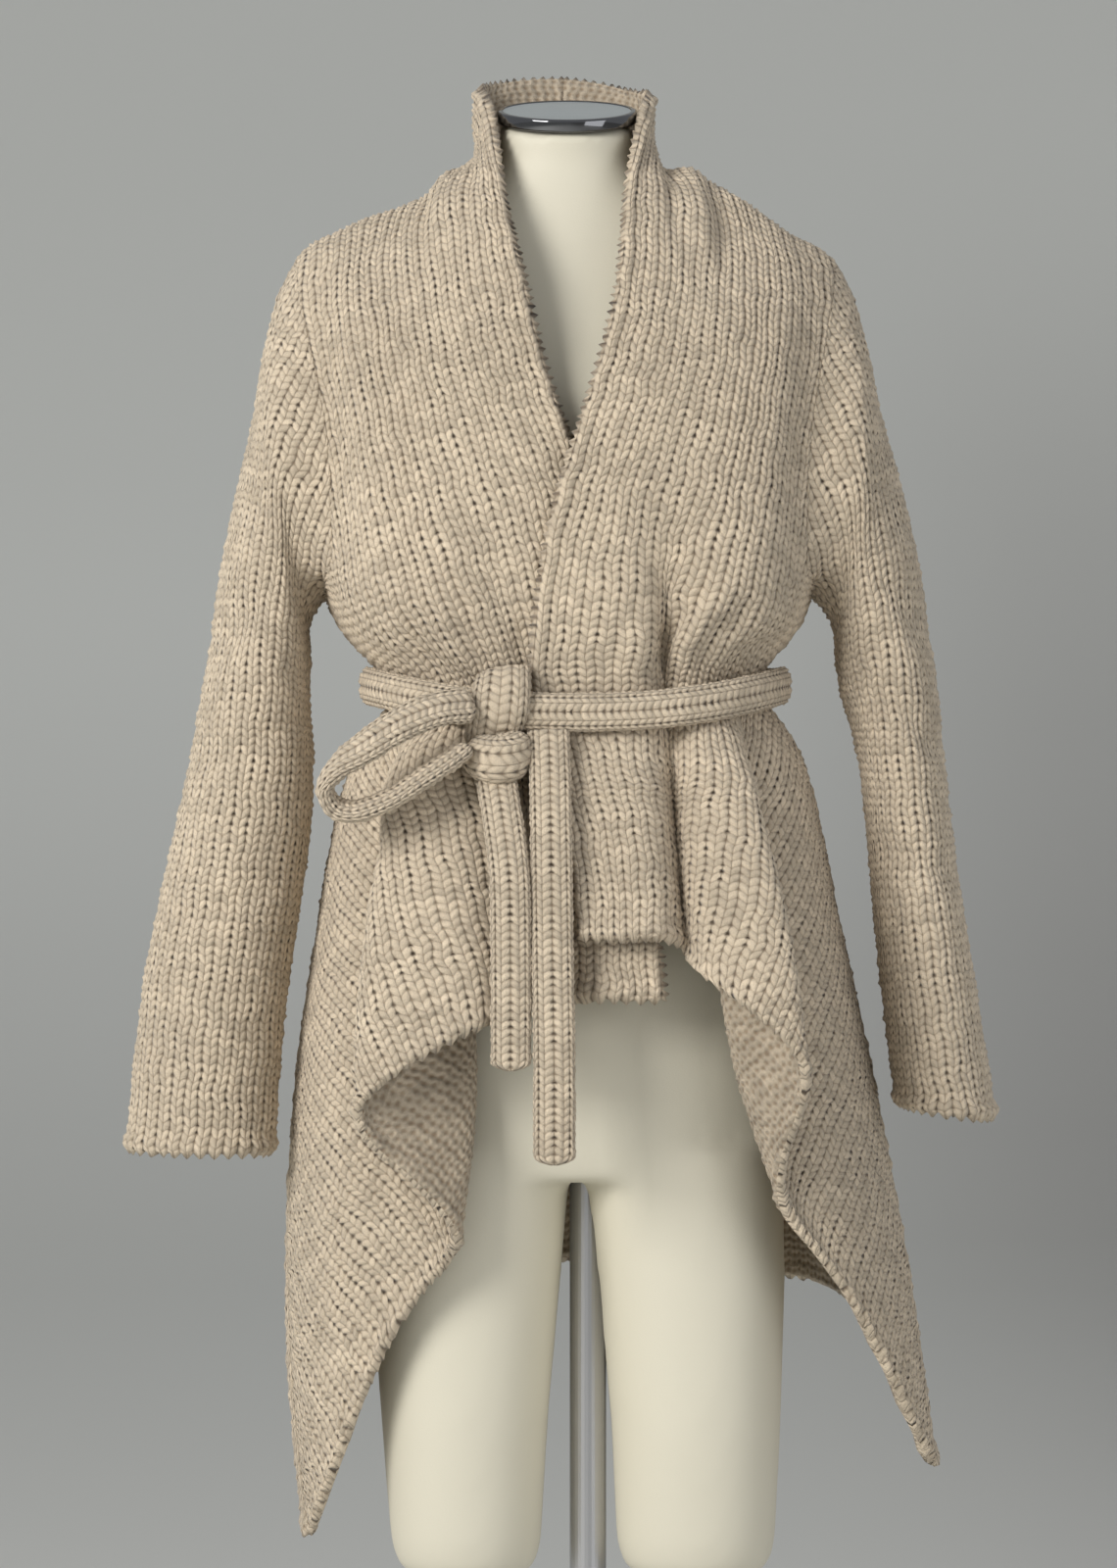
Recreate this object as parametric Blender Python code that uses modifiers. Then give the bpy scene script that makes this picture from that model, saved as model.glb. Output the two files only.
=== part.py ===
"""Buttonless wrap cardigan, tied with its own belt, on a limbless dress form.

Units are metres, +Z up, the front faces -Y, and the origin is on the floor under the form. Tables are in millimetres.
The knitted body, collar and sleeves come from one cage of named fold lines, smoothed with Subdivision Surface
and then parted at the seams into panels, each a closed wall. "Right" and "left" are the wearer's: right is at -X.
"""

import math
from typing import NamedTuple

import bmesh
import bpy
import numpy as np
from mathutils import Matrix, Vector
from mathutils.bvhtree import BVHTree

MM = 0.001
SEAM_GAP = 0.3 * MM
WALL = 5.5 * MM
CAGE_LEVELS = 1
FIT_ROUNDS = 24
FORM_SEAT_GAP = 0.9 * MM
BELT_SEAT_GAP = 0.8 * MM

# Rows of the body cage from the nape to the hem. Rows after "hip" divide the skirt into equal steps.
COLLAR_ROWS = ("nape", "collar_side")
BODICE_ROWS = ("shoulder", "collarbone", "upper_chest", "chest", "armpit", "midriff", "waist", "hip")
SKIRT_STEPS = 5
SKIRT_ROWS = tuple(f"skirt{step}" for step in range(1, SKIRT_STEPS + 1))
BODY_ROWS = BODICE_ROWS + SKIRT_ROWS
ARMHOLE_ROWS = ("shoulder", "collarbone", "upper_chest", "chest", "armpit")

# Fold lines of a front, from its free edge to the side seam.
FOLDS = ("edge", "strip", "fold", "valley", "crest", "ridge", "turn", "tuck", "flank", "side")
COLLAR_FOLDS = FOLDS[:4]


class FrontSection(NamedTuple):
    """One row of a front: where each fold line is, as (x, y, z) in millimetres."""

    row: str
    edge: tuple
    strip: tuple
    fold: tuple
    valley: tuple
    crest: tuple = None
    ridge: tuple = None
    turn: tuple = None
    tuck: tuple = None
    flank: tuple = None
    side: tuple = None


# The wearer's left front lies on top and its skirt falls in a deep zigzag: crest, ridge, tuck, side.
LEFT_FRONT = (
    FrontSection("nape", (-3, 76, 1545), (-4, 67, 1524), (-4, 61, 1494), (-4, 70, 1441)),
    FrontSection("collar_side", (52, 47, 1531), (53, 42, 1512), (54, 39, 1487), (60, 44, 1447)),
    FrontSection("shoulder", (54, -4, 1513), (59, 4, 1494), (64, 4, 1474), (84, 3, 1459),
                 (109, 1, 1449), (133, 0, 1434), (158, 0, 1418), (188, 0, 1401)),
    FrontSection("collarbone", (41, -62, 1445), (58, -54, 1449), (77, -49, 1443), (97, -47, 1432),
                 (116, -46, 1420), (137, -46, 1406), (158, -46, 1391), (183, -42, 1364)),
    FrontSection("upper_chest", (35, -100, 1376), (57, -98, 1374), (78, -94, 1370), (98, -91, 1364),
                 (117, -88, 1357), (136, -83, 1348), (154, -76, 1336), (174, -62, 1312)),
    FrontSection("chest", (16, -118, 1300), (42, -119, 1299), (68, -116, 1297), (90, -111, 1294),
                 (110, -107, 1289), (129, -100, 1282), (147, -89, 1272), (166, -70, 1252)),
    FrontSection("armpit", (-10, -123, 1215), (18, -124, 1214), (46, -121, 1212), (70, -114, 1209),
                 (93, -116, 1207), (117, -112, 1203), (141, -99, 1197), (164, -68, 1188),
                 (171, -36, 1174), (173, 0, 1166)),
    FrontSection("midriff", (-23, -117, 1135), (9, -119, 1135), (52, -115, 1134), (66, -95, 1134),
                 (80, -109, 1134), (105, -107, 1136), (130, -95, 1138), (148, -70, 1139),
                 (158, -36, 1141), (160, 0, 1141)),
    FrontSection("waist", (-24, -107, 1084), (14, -108, 1085), (52, -102, 1088), (66, -84, 1090),
                 (80, -92, 1091), (96, -84, 1093), (111, -71, 1095), (122, -55, 1097),
                 (131, -31, 1099), (134, 0, 1100)),
    FrontSection("hip", (-14, -118, 1043), (20, -121, 1043), (55, -117, 1043), (70, -95, 1043),
                 (87, -113, 1043), (114, -114, 1043), (121, -95, 1045), (119, -76, 1047),
                 (147, -46, 1049), (162, 0, 1052)),
)
LEFT_SKIRT_MIDDLE = FrontSection(
    "middle", (0, -131, 985), (33, -135, 985), (61, -131, 985), (76, -102, 978), (91, -133, 973),
    (141, -146, 950), (126, -121, 925), (107, -95, 900), (170, -72, 862), (219, 0, 800))
LEFT_HEM = FrontSection(
    "hem", (6, -141, 927), (38, -146, 926), (65, -142, 926), (82, -119, 914), (99, -148, 896),
    (155, -160, 846), (150, -138, 788), (150, -110, 735), (198, -80, 667), (257, -10, 548))

# The wearer's right front passes under the other: its free edge ends inside the fold of the left front.
RIGHT_FRONT = (
    FrontSection("nape", (-3, 76, 1545), (-4, 67, 1524), (-4, 61, 1494), (-4, 70, 1441)),
    FrontSection("collar_side", (-59, 47, 1536), (-61, 42, 1515), (-61, 39, 1489), (-66, 44, 1447)),
    FrontSection("shoulder", (-56, -4, 1513), (-65, 4, 1494), (-69, 4, 1474), (-88, 3, 1452),
                 (-113, 1, 1438), (-139, 0, 1430), (-164, 0, 1420), (-192, 0, 1402)),
    FrontSection("collarbone", (-46, -62, 1445), (-63, -54, 1449), (-81, -49, 1441), (-100, -47, 1428),
                 (-119, -46, 1415), (-141, -46, 1403), (-162, -46, 1389), (-186, -42, 1364)),
    FrontSection("upper_chest", (-31, -100, 1376), (-55, -98, 1374), (-78, -94, 1370), (-98, -91, 1364),
                 (-117, -88, 1357), (-136, -83, 1348), (-155, -76, 1336), (-174, -62, 1312)),
    FrontSection("chest", (-12, -109, 1300), (-39, -112, 1299), (-66, -111, 1297), (-89, -108, 1294),
                 (-109, -104, 1289), (-129, -98, 1282), (-147, -88, 1272), (-165, -69, 1252)),
    FrontSection("armpit", (20, -109, 1215), (-8, -113, 1214), (-37, -115, 1212), (-64, -114, 1209),
                 (-90, -113, 1206), (-115, -108, 1202), (-139, -97, 1197), (-163, -67, 1188),
                 (-170, -36, 1174), (-172, 0, 1166)),
    FrontSection("midriff", (38, -105, 1135), (14, -108, 1135), (-14, -109, 1134), (-38, -104, 1133),
                 (-62, -109, 1134), (-93, -106, 1136), (-123, -94, 1138), (-145, -69, 1139),
                 (-156, -36, 1141), (-159, 0, 1141)),
    FrontSection("waist", (44, -94, 1088), (20, -97, 1087), (-4, -98, 1086), (-27, -94, 1086),
                 (-48, -97, 1087), (-71, -91, 1089), (-94, -78, 1092), (-111, -58, 1094),
                 (-121, -31, 1096), (-124, 0, 1096)),
    FrontSection("hip", (49, -104, 1048), (26, -107, 1048), (-2, -108, 1048), (-27, -93, 1048),
                 (-52, -110, 1043), (-108, -109, 1041), (-117, -90, 1043), (-113, -72, 1045),
                 (-139, -45, 1048), (-149, 0, 1050)),
)
RIGHT_SKIRT_MIDDLE = FrontSection(
    "middle", (57, -116, 968), (35, -120, 968), (11, -118, 966), (-20, -102, 962), (-57, -134, 958),
    (-132, -142, 930), (-108, -117, 905), (-70, -95, 885), (-148, -78, 850), (-195, 0, 775))
RIGHT_HEM = FrontSection(
    "hem", (64, -126, 884), (41, -130, 884), (16, -128, 884), (-18, -106, 878), (-58, -147, 868),
    (-139, -158, 816), (-112, -136, 766), (-77, -112, 714), (-123, -84, 647), (-182, -22, 500))

# The back runs from side seam to side seam. Its columns are those folds, the side of the collar and the centre.
BACK_FOLDS = ("side", "flank", "tuck", "turn", "ridge", "crest", "valley", "collar_side")


class BackSection(NamedTuple):
    """One row of the back: heights at the centre and at the side, half widths and depth, in millimetres."""

    row: str
    centre_z: float
    side_z: float
    half_right: float
    half_left: float
    depth: float
    side_depth: float


BACK_SECTIONS = (
    BackSection("collarbone", 1398, 1364, 186, 183, 84, 40),
    BackSection("upper_chest", 1345, 1312, 176, 176, 100, 58),
    BackSection("chest", 1282, 1252, 170, 171, 108, 64),
    BackSection("armpit", 1210, 1166, 172, 173, 108, 0),
    BackSection("midriff", 1140, 1141, 159, 160, 98, 0),
    BackSection("waist", 1104, 1098, 124, 134, 81, 0),
    BackSection("hip", 1060, 1050, 149, 162, 95, 0),
)
BACK_MIDDLE = BackSection("middle", 870, 788, 195, 219, 146, 0)
BACK_HEM_DEPTH = 168
BACK_WIDTH_SHARE = {"side": 1.0, "flank": 0.985, "tuck": 0.93, "turn": 0.83, "ridge": 0.71, "crest": 0.57,
                    "valley": 0.43, "collar_side": 0.25, "centre": 0.0}
BACK_ARMHOLE_SHARE = {"tuck": 1.0, "turn": 0.85, "ridge": 0.72, "crest": 0.59, "valley": 0.46,
                      "collar_side": 0.28, "centre": 0.0}
BACK_HEM_RIGHT_Z = {"side": 500, "flank": 548, "tuck": 606, "turn": 640, "ridge": 657, "crest": 664,
                    "valley": 668, "collar_side": 670, "centre": 671}
BACK_HEM_LEFT_Z = {"side": 548, "flank": 580, "tuck": 628, "turn": 648, "ridge": 660, "crest": 665,
                   "valley": 668, "collar_side": 670, "centre": 671}
BACK_RIPPLE = {"side": 0, "flank": 0, "tuck": 0.5, "turn": -0.7, "ridge": 0.8, "crest": -0.9,
               "valley": 0.8, "collar_side": -0.8, "centre": 0.7}
BACK_RIPPLE_HEM = 11
BACK_ROUNDNESS = 2.4


class SleeveRing(NamedTuple):
    """A ring of a sleeve from its outer to its inner point, with its half depth and the Y of its middle."""

    outer_x: float
    outer_z: float
    inner_x: float
    inner_z: float
    half_depth: float
    middle_y: float


LEFT_SLEEVE = (
    SleeveRing(207, 1352, 190, 1148, 68, 0),
    SleeveRing(221, 1290, 195, 1120, 64, 2),
    SleeveRing(242, 1212, 199, 1092, 60, 3),
    SleeveRing(261, 1090, 209, 1056, 56, 2),
    SleeveRing(271, 995, 217, 985, 54, 0),
    SleeveRing(286, 893, 226, 888, 53, -4),
    SleeveRing(301, 795, 236, 804, 53, -8),
)
RIGHT_SLEEVE = (
    SleeveRing(-211, 1352, -187, 1147, 67, 0),
    SleeveRing(-222, 1289, -188, 1118, 62, -2),
    SleeveRing(-239, 1212, -188, 1088, 56, -5),
    SleeveRing(-257, 1100, -185, 1052, 50, -9),
    SleeveRing(-277, 995, -188, 984, 45, -13),
    SleeveRing(-298, 890, -202, 886, 39, -18),
    SleeveRing(-310, 773, -211, 771, 34, -22),
)

# Belt: a knitted tube that lies flat.
BELT_HEIGHT = 26 * MM
BELT_THICK = 12 * MM
BELT_MIDDLE_X = 5
BELT_HALF_WIDTH = 147.8
BELT_FRONT = 122.4
BELT_BACK = 99
BELT_ROUNDNESS = 2.3
BELT_FRONT_Z = 1079
BELT_SIDE_Z = 1100
BELT_BACK_Z = 1104
BELT_STATIONS = 44
TUBE_SIDES = 12


class Sweep(NamedTuple):
    """A flat tube along a route in millimetres, seated on its carrier: its width, thickness and width direction."""

    route: tuple
    width: float
    thick: float
    width_axis: tuple
    stations: int
    carrier: str
    towards: tuple


BELT_SWEEPS = {
    "belt_knot_wrap": Sweep(
        ((-47, -117, 1106), (-48, -126, 1103), (-49, -132, 1094), (-49, -134, 1081), (-49, -132, 1069),
         (-49, -126, 1062), (-49, -118, 1061)), 38, 10, (1, 0, 0), 12, "belt_band", (0, 1, 0)),
    "belt_knot_turn": Sweep(
        ((-61, -122, 1042), (-57, -131, 1040), (-48, -136, 1039), (-39, -133, 1039), (-34, -124, 1041)),
        23, 15, (0, 0, 1), 10, "belt_knot_wrap", (0, 0, 1)),
    "belt_loop": Sweep(
        ((-72, -136, 1086), (-96, -147, 1083), (-122, -156, 1072), (-148, -160, 1055), (-164, -160, 1043),
         (-172, -158, 1030), (-166, -156, 1017), (-151, -155, 1014), (-127, -152, 1023), (-104, -147, 1038),
         (-85, -140, 1051), (-76, -136, 1058)), 26, 12, (0, 0.93, 0.37), 40, "belt_knot_wrap", (1, 0, 0)),
    "belt_tail_short": Sweep(
        ((-50, -131, 1024), (-46, -143, 1000), (-41, -153, 960), (-40, -155, 900), (-40, -155, 828)),
        27, 10, (1, 0, 0), 18, "belt_knot_turn", (0, 0, 1)),
    "belt_tail_long": Sweep(
        ((-14, -125, 1061), (-13, -134, 1034), (-12, -149, 975), (-11, -155, 900), (-10, -156, 830),
         (-10, -156, 768)), 28, 10, (1, 0, 0), 22, "belt_band", (0, 0, 1)),
}


class FormSection(NamedTuple):
    """A level of the dress form: half width, front and back depths and the X of its middle, in millimetres."""

    z: float
    half_width: float
    front: float
    back: float
    middle_x: float = 0


TRUNK = (
    FormSection(742, 138, 74, 88, 6),
    FormSection(770, 152, 82, 98, 6),
    FormSection(830, 161, 88, 108, 5),
    FormSection(900, 158, 88, 108, 4),
    FormSection(970, 146, 86, 96, 3),
    FormSection(1040, 126, 83, 80, 3),
    FormSection(1095, 116, 82, 73, 3),
    FormSection(1150, 123, 87, 77, 2),
    FormSection(1220, 142, 95, 85, 0),
    FormSection(1290, 154, 90, 90, -1),
    FormSection(1345, 162, 74, 86, -2),
    FormSection(1382, 158, 60, 74, -2),
    FormSection(1402, 139, 53, 64, -1),
    FormSection(1418, 110, 48, 56, 0),
    FormSection(1430, 82, 45, 50, 0),
    FormSection(1446, 58, 42, 46, -1),
    FormSection(1466, 46, 41, 44, -1),
)
NECK_TOP = FormSection(1493, 50, 49, 49, -1)
NECK_TILT = math.radians(18)
CAP_THICK = 9 * MM
SHOULDER_LEVEL = 1370
RIGHT_THIGH = (
    FormSection(462, 18, 18, 18, -72),
    FormSection(465, 36, 38, 38, -72),
    FormSection(474, 50, 54, 54, -72),
    FormSection(492, 54, 60, 60, -73),
    FormSection(580, 60, 70, 74, -74),
    FormSection(680, 68, 75, 87, -73),
    FormSection(775, 73, 78, 94, -70),
)
LEFT_THIGH = (
    FormSection(462, 18, 18, 18, 91),
    FormSection(465, 38, 38, 38, 91),
    FormSection(474, 53, 54, 54, 91),
    FormSection(492, 57, 60, 60, 91),
    FormSection(580, 61, 70, 74, 91),
    FormSection(680, 68, 75, 87, 87),
    FormSection(775, 73, 78, 94, 80),
)
FORM_SIDES = 28
FORM_ROUNDNESS = 2.15
POLE_RADIUS = 13 * MM
POLE_X = 14 * MM
POLE_TOP = 790 * MM
BORE_CLEARANCE = 0.4 * MM
BORE_DEPTH = 320 * MM
BASE_RADIUS = 190 * MM
BASE_THICK = 12 * MM
BASE_BEVEL = 4 * MM

KNIT = ((0.62, 0.53, 0.42, 1.0), 0.9, 0.0)
SHELL = ((0.78, 0.74, 0.66, 1.0), 0.5, 0.0)
CHROME = ((0.8, 0.8, 0.82, 1.0), 0.08, 1.0)
STEEL = ((0.55, 0.55, 0.56, 1.0), 0.3, 1.0)


def clear_scene():
    """Removes every object, so the script gives the same result from any start file."""
    for obj in list(bpy.data.objects):
        bpy.data.objects.remove(obj, do_unlink=True)


def make_collection(name):
    """Returns a new collection linked to the scene."""
    collection = bpy.data.collections.new(name)
    bpy.context.scene.collection.children.link(collection)
    return collection


def make_material(name, look):
    """Returns a Principled BSDF material from (colour, roughness, metallic)."""
    colour, roughness, metallic = look
    material = bpy.data.materials.new(name)
    material.use_nodes = True
    shader = material.node_tree.nodes["Principled BSDF"]
    shader.inputs["Base Color"].default_value = colour
    shader.inputs["Roughness"].default_value = roughness
    shader.inputs["Metallic"].default_value = metallic
    material.diffuse_color = colour
    return material


def add_object(name, mesh, collection, look=None):
    """Links a new object that holds the mesh, with a material of its own."""
    obj = bpy.data.objects.new(name, mesh)
    if look:
        mesh.materials.append(make_material(name, look))
    collection.objects.link(obj)
    return obj


def evaluated_mesh(obj):
    """Returns a copy of the object's mesh with its modifiers applied."""
    bpy.context.view_layer.update()
    depsgraph = bpy.context.evaluated_depsgraph_get()
    return bpy.data.meshes.new_from_object(obj.evaluated_get(depsgraph))


class Cage:
    """Quads between named points. A name that is used twice is one point, which welds the panels."""

    def __init__(self):
        self.index = {}
        self.points = []
        self.faces = []
        self.panels = []

    def point(self, key, position=None):
        """Returns the number of a named point, which is placed when it is first named."""
        if key not in self.index:
            self.index[key] = len(self.points)
            self.points.append([value * MM for value in position])
        return self.index[key]

    def quad(self, panel, corners):
        """Adds one face of a panel."""
        self.faces.append(tuple(corners))
        self.panels.append(panel)


def skirt_point(hip, middle, hem, step):
    """Places a point on the curve through the hip, the middle of the skirt and the hem."""
    t = step / SKIRT_STEPS
    weights = (2 * (t - 0.5) * (t - 1), -4 * t * (t - 1), 2 * t * (t - 0.5))
    return tuple(sum(w * p[axis] for w, p in zip(weights, (hip, middle, hem))) for axis in range(3))


def front_points(sections, middle, hem):
    """Returns {(fold, row): position} for one front, with its half of the collar."""
    points = {}
    for section in sections:
        for fold in FOLDS:
            position = getattr(section, fold)
            if position is not None:
                points[fold, section.row] = position
    for step, row in enumerate(SKIRT_ROWS, 1):
        for fold in FOLDS:
            hip = points[fold, "hip"]
            points[fold, row] = skirt_point(hip, getattr(middle, fold), getattr(hem, fold), step)
    return points


def point_key(side, fold, row):
    """Names a front's point. The nape is shared by both fronts."""
    return ("nape", fold) if row == "nape" else (side, fold, row)


def add_front(cage, panel, side, points):
    """Adds the quads of one front: the collar strip, then the body rows under it."""
    collar_rows = COLLAR_ROWS + BODICE_ROWS[:1]
    for upper, lower in zip(collar_rows, collar_rows[1:]):
        add_strip(cage, panel, side, points, COLLAR_FOLDS, upper, lower)
    for upper, lower in zip(BODY_ROWS, BODY_ROWS[1:]):
        under_arm = BODY_ROWS.index(lower) > BODY_ROWS.index("armpit")
        folds = FOLDS if under_arm else FOLDS[:FOLDS.index("tuck") + 1]
        add_strip(cage, panel, side, points, folds, upper, lower)


def add_strip(cage, panel, side, points, folds, upper, lower):
    """Adds a row of quads between two rows, facing out on either side of the body."""
    for first, second in zip(folds, folds[1:]):
        keys = ((first, upper), (first, lower), (second, lower), (second, upper))
        corners = [cage.point(point_key(side, *key), points[key]) for key in keys]
        cage.quad(panel, corners if side == "left" else corners[::-1])


def back_outline(section, fold, side):
    """Places one point of a back row from its half width and depth."""
    half = section.half_right if side == "right" else section.half_left
    shares = BACK_ARMHOLE_SHARE if section.row in ARMHOLE_ROWS[:-1] else BACK_WIDTH_SHARE
    share = shares[fold]
    curve = max(0.0, 1 - share ** BACK_ROUNDNESS) ** (1 / BACK_ROUNDNESS)
    depth = section.side_depth + (section.depth - section.side_depth) * curve
    height = section.centre_z + (section.side_z - section.centre_z) * share ** 3
    return (half * share * (-1 if side == "right" else 1), depth, height)


def back_hem(fold, side, side_point):
    """Places one point of the back's hem, which drops to the side seam."""
    heights = BACK_HEM_RIGHT_Z if side == "right" else BACK_HEM_LEFT_Z
    share = BACK_WIDTH_SHARE[fold]
    curve = max(0.0, 1 - share ** BACK_ROUNDNESS) ** (1 / BACK_ROUNDNESS)
    depth = side_point[1] + (BACK_HEM_DEPTH - side_point[1]) * curve
    return (side_point[0] * share, depth + BACK_RIPPLE[fold] * BACK_RIPPLE_HEM, heights[fold])


def back_points(side, front):
    """Returns {(fold, row): position} for half of the back. The side seam takes the front's points."""
    points = {}
    hem_side = front["side", SKIRT_ROWS[-1]]
    for fold in BACK_FOLDS + ("centre",):
        for section in BACK_SECTIONS:
            if section.row not in ARMHOLE_ROWS[:-1] or fold in BACK_ARMHOLE_SHARE:
                points[fold, section.row] = back_outline(section, fold, side)
        middle = back_outline(BACK_MIDDLE, fold, side)
        ripple = BACK_RIPPLE[fold] * BACK_RIPPLE_HEM / 2
        middle = (middle[0], middle[1] + ripple, middle[2])
        for step, row in enumerate(SKIRT_ROWS, 1):
            points[fold, row] = skirt_point(points[fold, "hip"], middle, back_hem(fold, side, hem_side), step)
    for row in BODY_ROWS[BODY_ROWS.index("armpit"):]:
        points["side", row] = front["side", row]
    return points


def back_key(side, fold, row):
    """Names a back point, welded to the fronts along the shoulders, the neck, the sides and the nape."""
    if row == "shoulder":
        if fold == "centre":
            return ("nape", "valley")
        return (side, "valley", "collar_side") if fold == "collar_side" else (side, fold, "shoulder")
    if fold == "side":
        return (side, "side", row)
    if fold == "centre":
        return ("back", "centre", row)
    return ("back", side, fold, row)


def add_back(cage, side, points):
    """Adds the quads of half of the back."""
    for upper, lower in zip(BODY_ROWS, BODY_ROWS[1:]):
        under_arm = BODY_ROWS.index(lower) > BODY_ROWS.index("armpit")
        folds = (BACK_FOLDS if under_arm else BACK_FOLDS[2:]) + ("centre",)
        for first, second in zip(folds, folds[1:]):
            keys = ((first, upper), (first, lower), (second, lower), (second, upper))
            corners = [cage.point(back_key(side, *key), points.get(key)) for key in keys]
            cage.quad("back_panel", corners if side == "left" else corners[::-1])


def armhole_keys(side):
    """Returns the armhole's points from the shoulder down the front, under the arm and up the back."""
    front = [(side, "tuck", row) for row in ARMHOLE_ROWS]
    under = [(side, "flank", "armpit"), (side, "side", "armpit"), ("back", side, "flank", "armpit")]
    back = [("back", side, "tuck", row) for row in reversed(ARMHOLE_ROWS[1:])]
    return front + under + back


def sleeve_ring(ring, count):
    """Places the points of a sleeve's ring, from its outer point forward and round."""
    middle = ((ring.outer_x + ring.inner_x) / 2, (ring.outer_z + ring.inner_z) / 2)
    reach = ((ring.outer_x - ring.inner_x) / 2, (ring.outer_z - ring.inner_z) / 2)
    points = []
    for number in range(count):
        angle = 2 * math.pi * number / count
        along = math.cos(angle)
        points.append((middle[0] + reach[0] * along, ring.middle_y - ring.half_depth * math.sin(angle),
                       middle[1] + reach[1] * along))
    return points


def add_sleeve(cage, panel, side, rings):
    """Adds a sleeve as rings of quads that start at the armhole."""
    start = [cage.index[key] for key in armhole_keys(side)]
    count = len(start)
    for number, ring in enumerate(rings):
        row = [cage.point((panel, number, spoke), position)
               for spoke, position in enumerate(sleeve_ring(ring, count))]
        for spoke in range(count):
            after = (spoke + 1) % count
            corners = (start[spoke], start[after], row[after], row[spoke])
            cage.quad(panel, corners if side == "left" else corners[::-1])
        start = row


def build_cage():
    """Returns the cage of the whole knitted body, collar and sleeves."""
    cage = Cage()
    fronts = {
        "left": front_points(LEFT_FRONT, LEFT_SKIRT_MIDDLE, LEFT_HEM),
        "right": front_points(RIGHT_FRONT, RIGHT_SKIRT_MIDDLE, RIGHT_HEM),
    }
    for side, points in fronts.items():
        add_front(cage, f"front_{side}", side, points)
    for side, points in fronts.items():
        add_back(cage, side, back_points(side, points))
    add_sleeve(cage, "sleeve_left", "left", LEFT_SLEEVE)
    add_sleeve(cage, "sleeve_right", "right", RIGHT_SLEEVE)
    return cage


def limit_matrix(cage):
    """Returns the matrix that takes the cage's points to their places on the smooth surface."""
    count = len(cage.points)
    edges = {}
    for face in cage.faces:
        for first, second in zip(face, face[1:] + face[:1]):
            edges[frozenset((first, second))] = edges.get(frozenset((first, second)), 0) + 1
    edge_sums = np.zeros((count, count))
    rim_sums = np.zeros((count, count))
    for edge, uses in edges.items():
        first, second = edge
        sums = rim_sums if uses == 1 else edge_sums
        sums[first, second] += 1
        sums[second, first] += 1
    face_sums = np.zeros((count, count))
    valence = np.zeros(count)
    for face in cage.faces:
        for corner in range(4):
            face_sums[face[corner], face[(corner + 2) % 4]] += 1
            valence[face[corner]] += 1
    result = np.zeros((count, count))
    for point in range(count):
        faces = valence[point]
        if rim_sums[point].any():
            corner = faces == 1
            result[point, point] = 1 if corner else 4 / 6
            if not corner:
                result[point] += rim_sums[point] / 6
        else:
            result[point] = (4 * edge_sums[point] + face_sums[point]) / (faces * (faces + 5))
            result[point, point] += faces ** 2 / (faces * (faces + 5))
    return result


def fit_cage(cage):
    """Moves the cage's points until the smooth surface passes through the places that were asked for."""
    target = np.array(cage.points)
    smooth = limit_matrix(cage)
    points = target.copy()
    for _ in range(FIT_ROUNDS):
        points += target - smooth @ points
    return points


def smooth_cage(cage, guides):
    """Returns positions, normals, quads and panel numbers of the smoothed body."""
    mesh = bpy.data.meshes.new("cage")
    mesh.from_pydata([tuple(point) for point in fit_cage(cage)], [], cage.faces)
    names = list(dict.fromkeys(cage.panels))
    for name in names:
        mesh.materials.append(bpy.data.materials.new(f"cage_{name}"))
    mesh.polygons.foreach_set("material_index", [names.index(panel) for panel in cage.panels])
    obj = add_object("cage", mesh, guides)
    obj.hide_render = True
    obj.display_type = "WIRE"
    smoothing = obj.modifiers.new("Subdivision", "SUBSURF")
    smoothing.levels = CAGE_LEVELS
    smoothing.render_levels = CAGE_LEVELS
    smoothing.boundary_smooth = "PRESERVE_CORNERS"
    fine = evaluated_mesh(obj)
    points = np.empty(len(fine.vertices) * 3)
    fine.vertices.foreach_get("co", points)
    normals = np.empty(len(fine.vertices) * 3)
    fine.vertices.foreach_get("normal", normals)
    quads = [tuple(polygon.vertices) for polygon in fine.polygons]
    panels = [names[polygon.material_index] for polygon in fine.polygons]
    return points.reshape(-1, 3), normals.reshape(-1, 3), quads, panels


def seam_shift(points, normals, quads, seam_points):
    """Returns how far each seam point of a panel moves into the panel, so that panels stay apart."""
    uses = {}
    for quad in quads:
        for first, second in zip(quad, quad[1:] + quad[:1]):
            uses.setdefault(frozenset((first, second)), []).append((first, second))
    shifts = {}
    for owners in uses.values():
        first, second = owners[0]
        if len(owners) > 1 or not (first in seam_points and second in seam_points):
            continue
        along = points[second] - points[first]
        for point in (first, second):
            inward = np.cross(normals[point], along)
            shifts.setdefault(point, []).append(inward / np.linalg.norm(inward))
    result = {}
    for point, inwards in shifts.items():
        mean = sum(inwards) / len(inwards)
        result[point] = mean / max(0.3, float(mean @ mean)) * SEAM_GAP / 2
    return result


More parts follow.
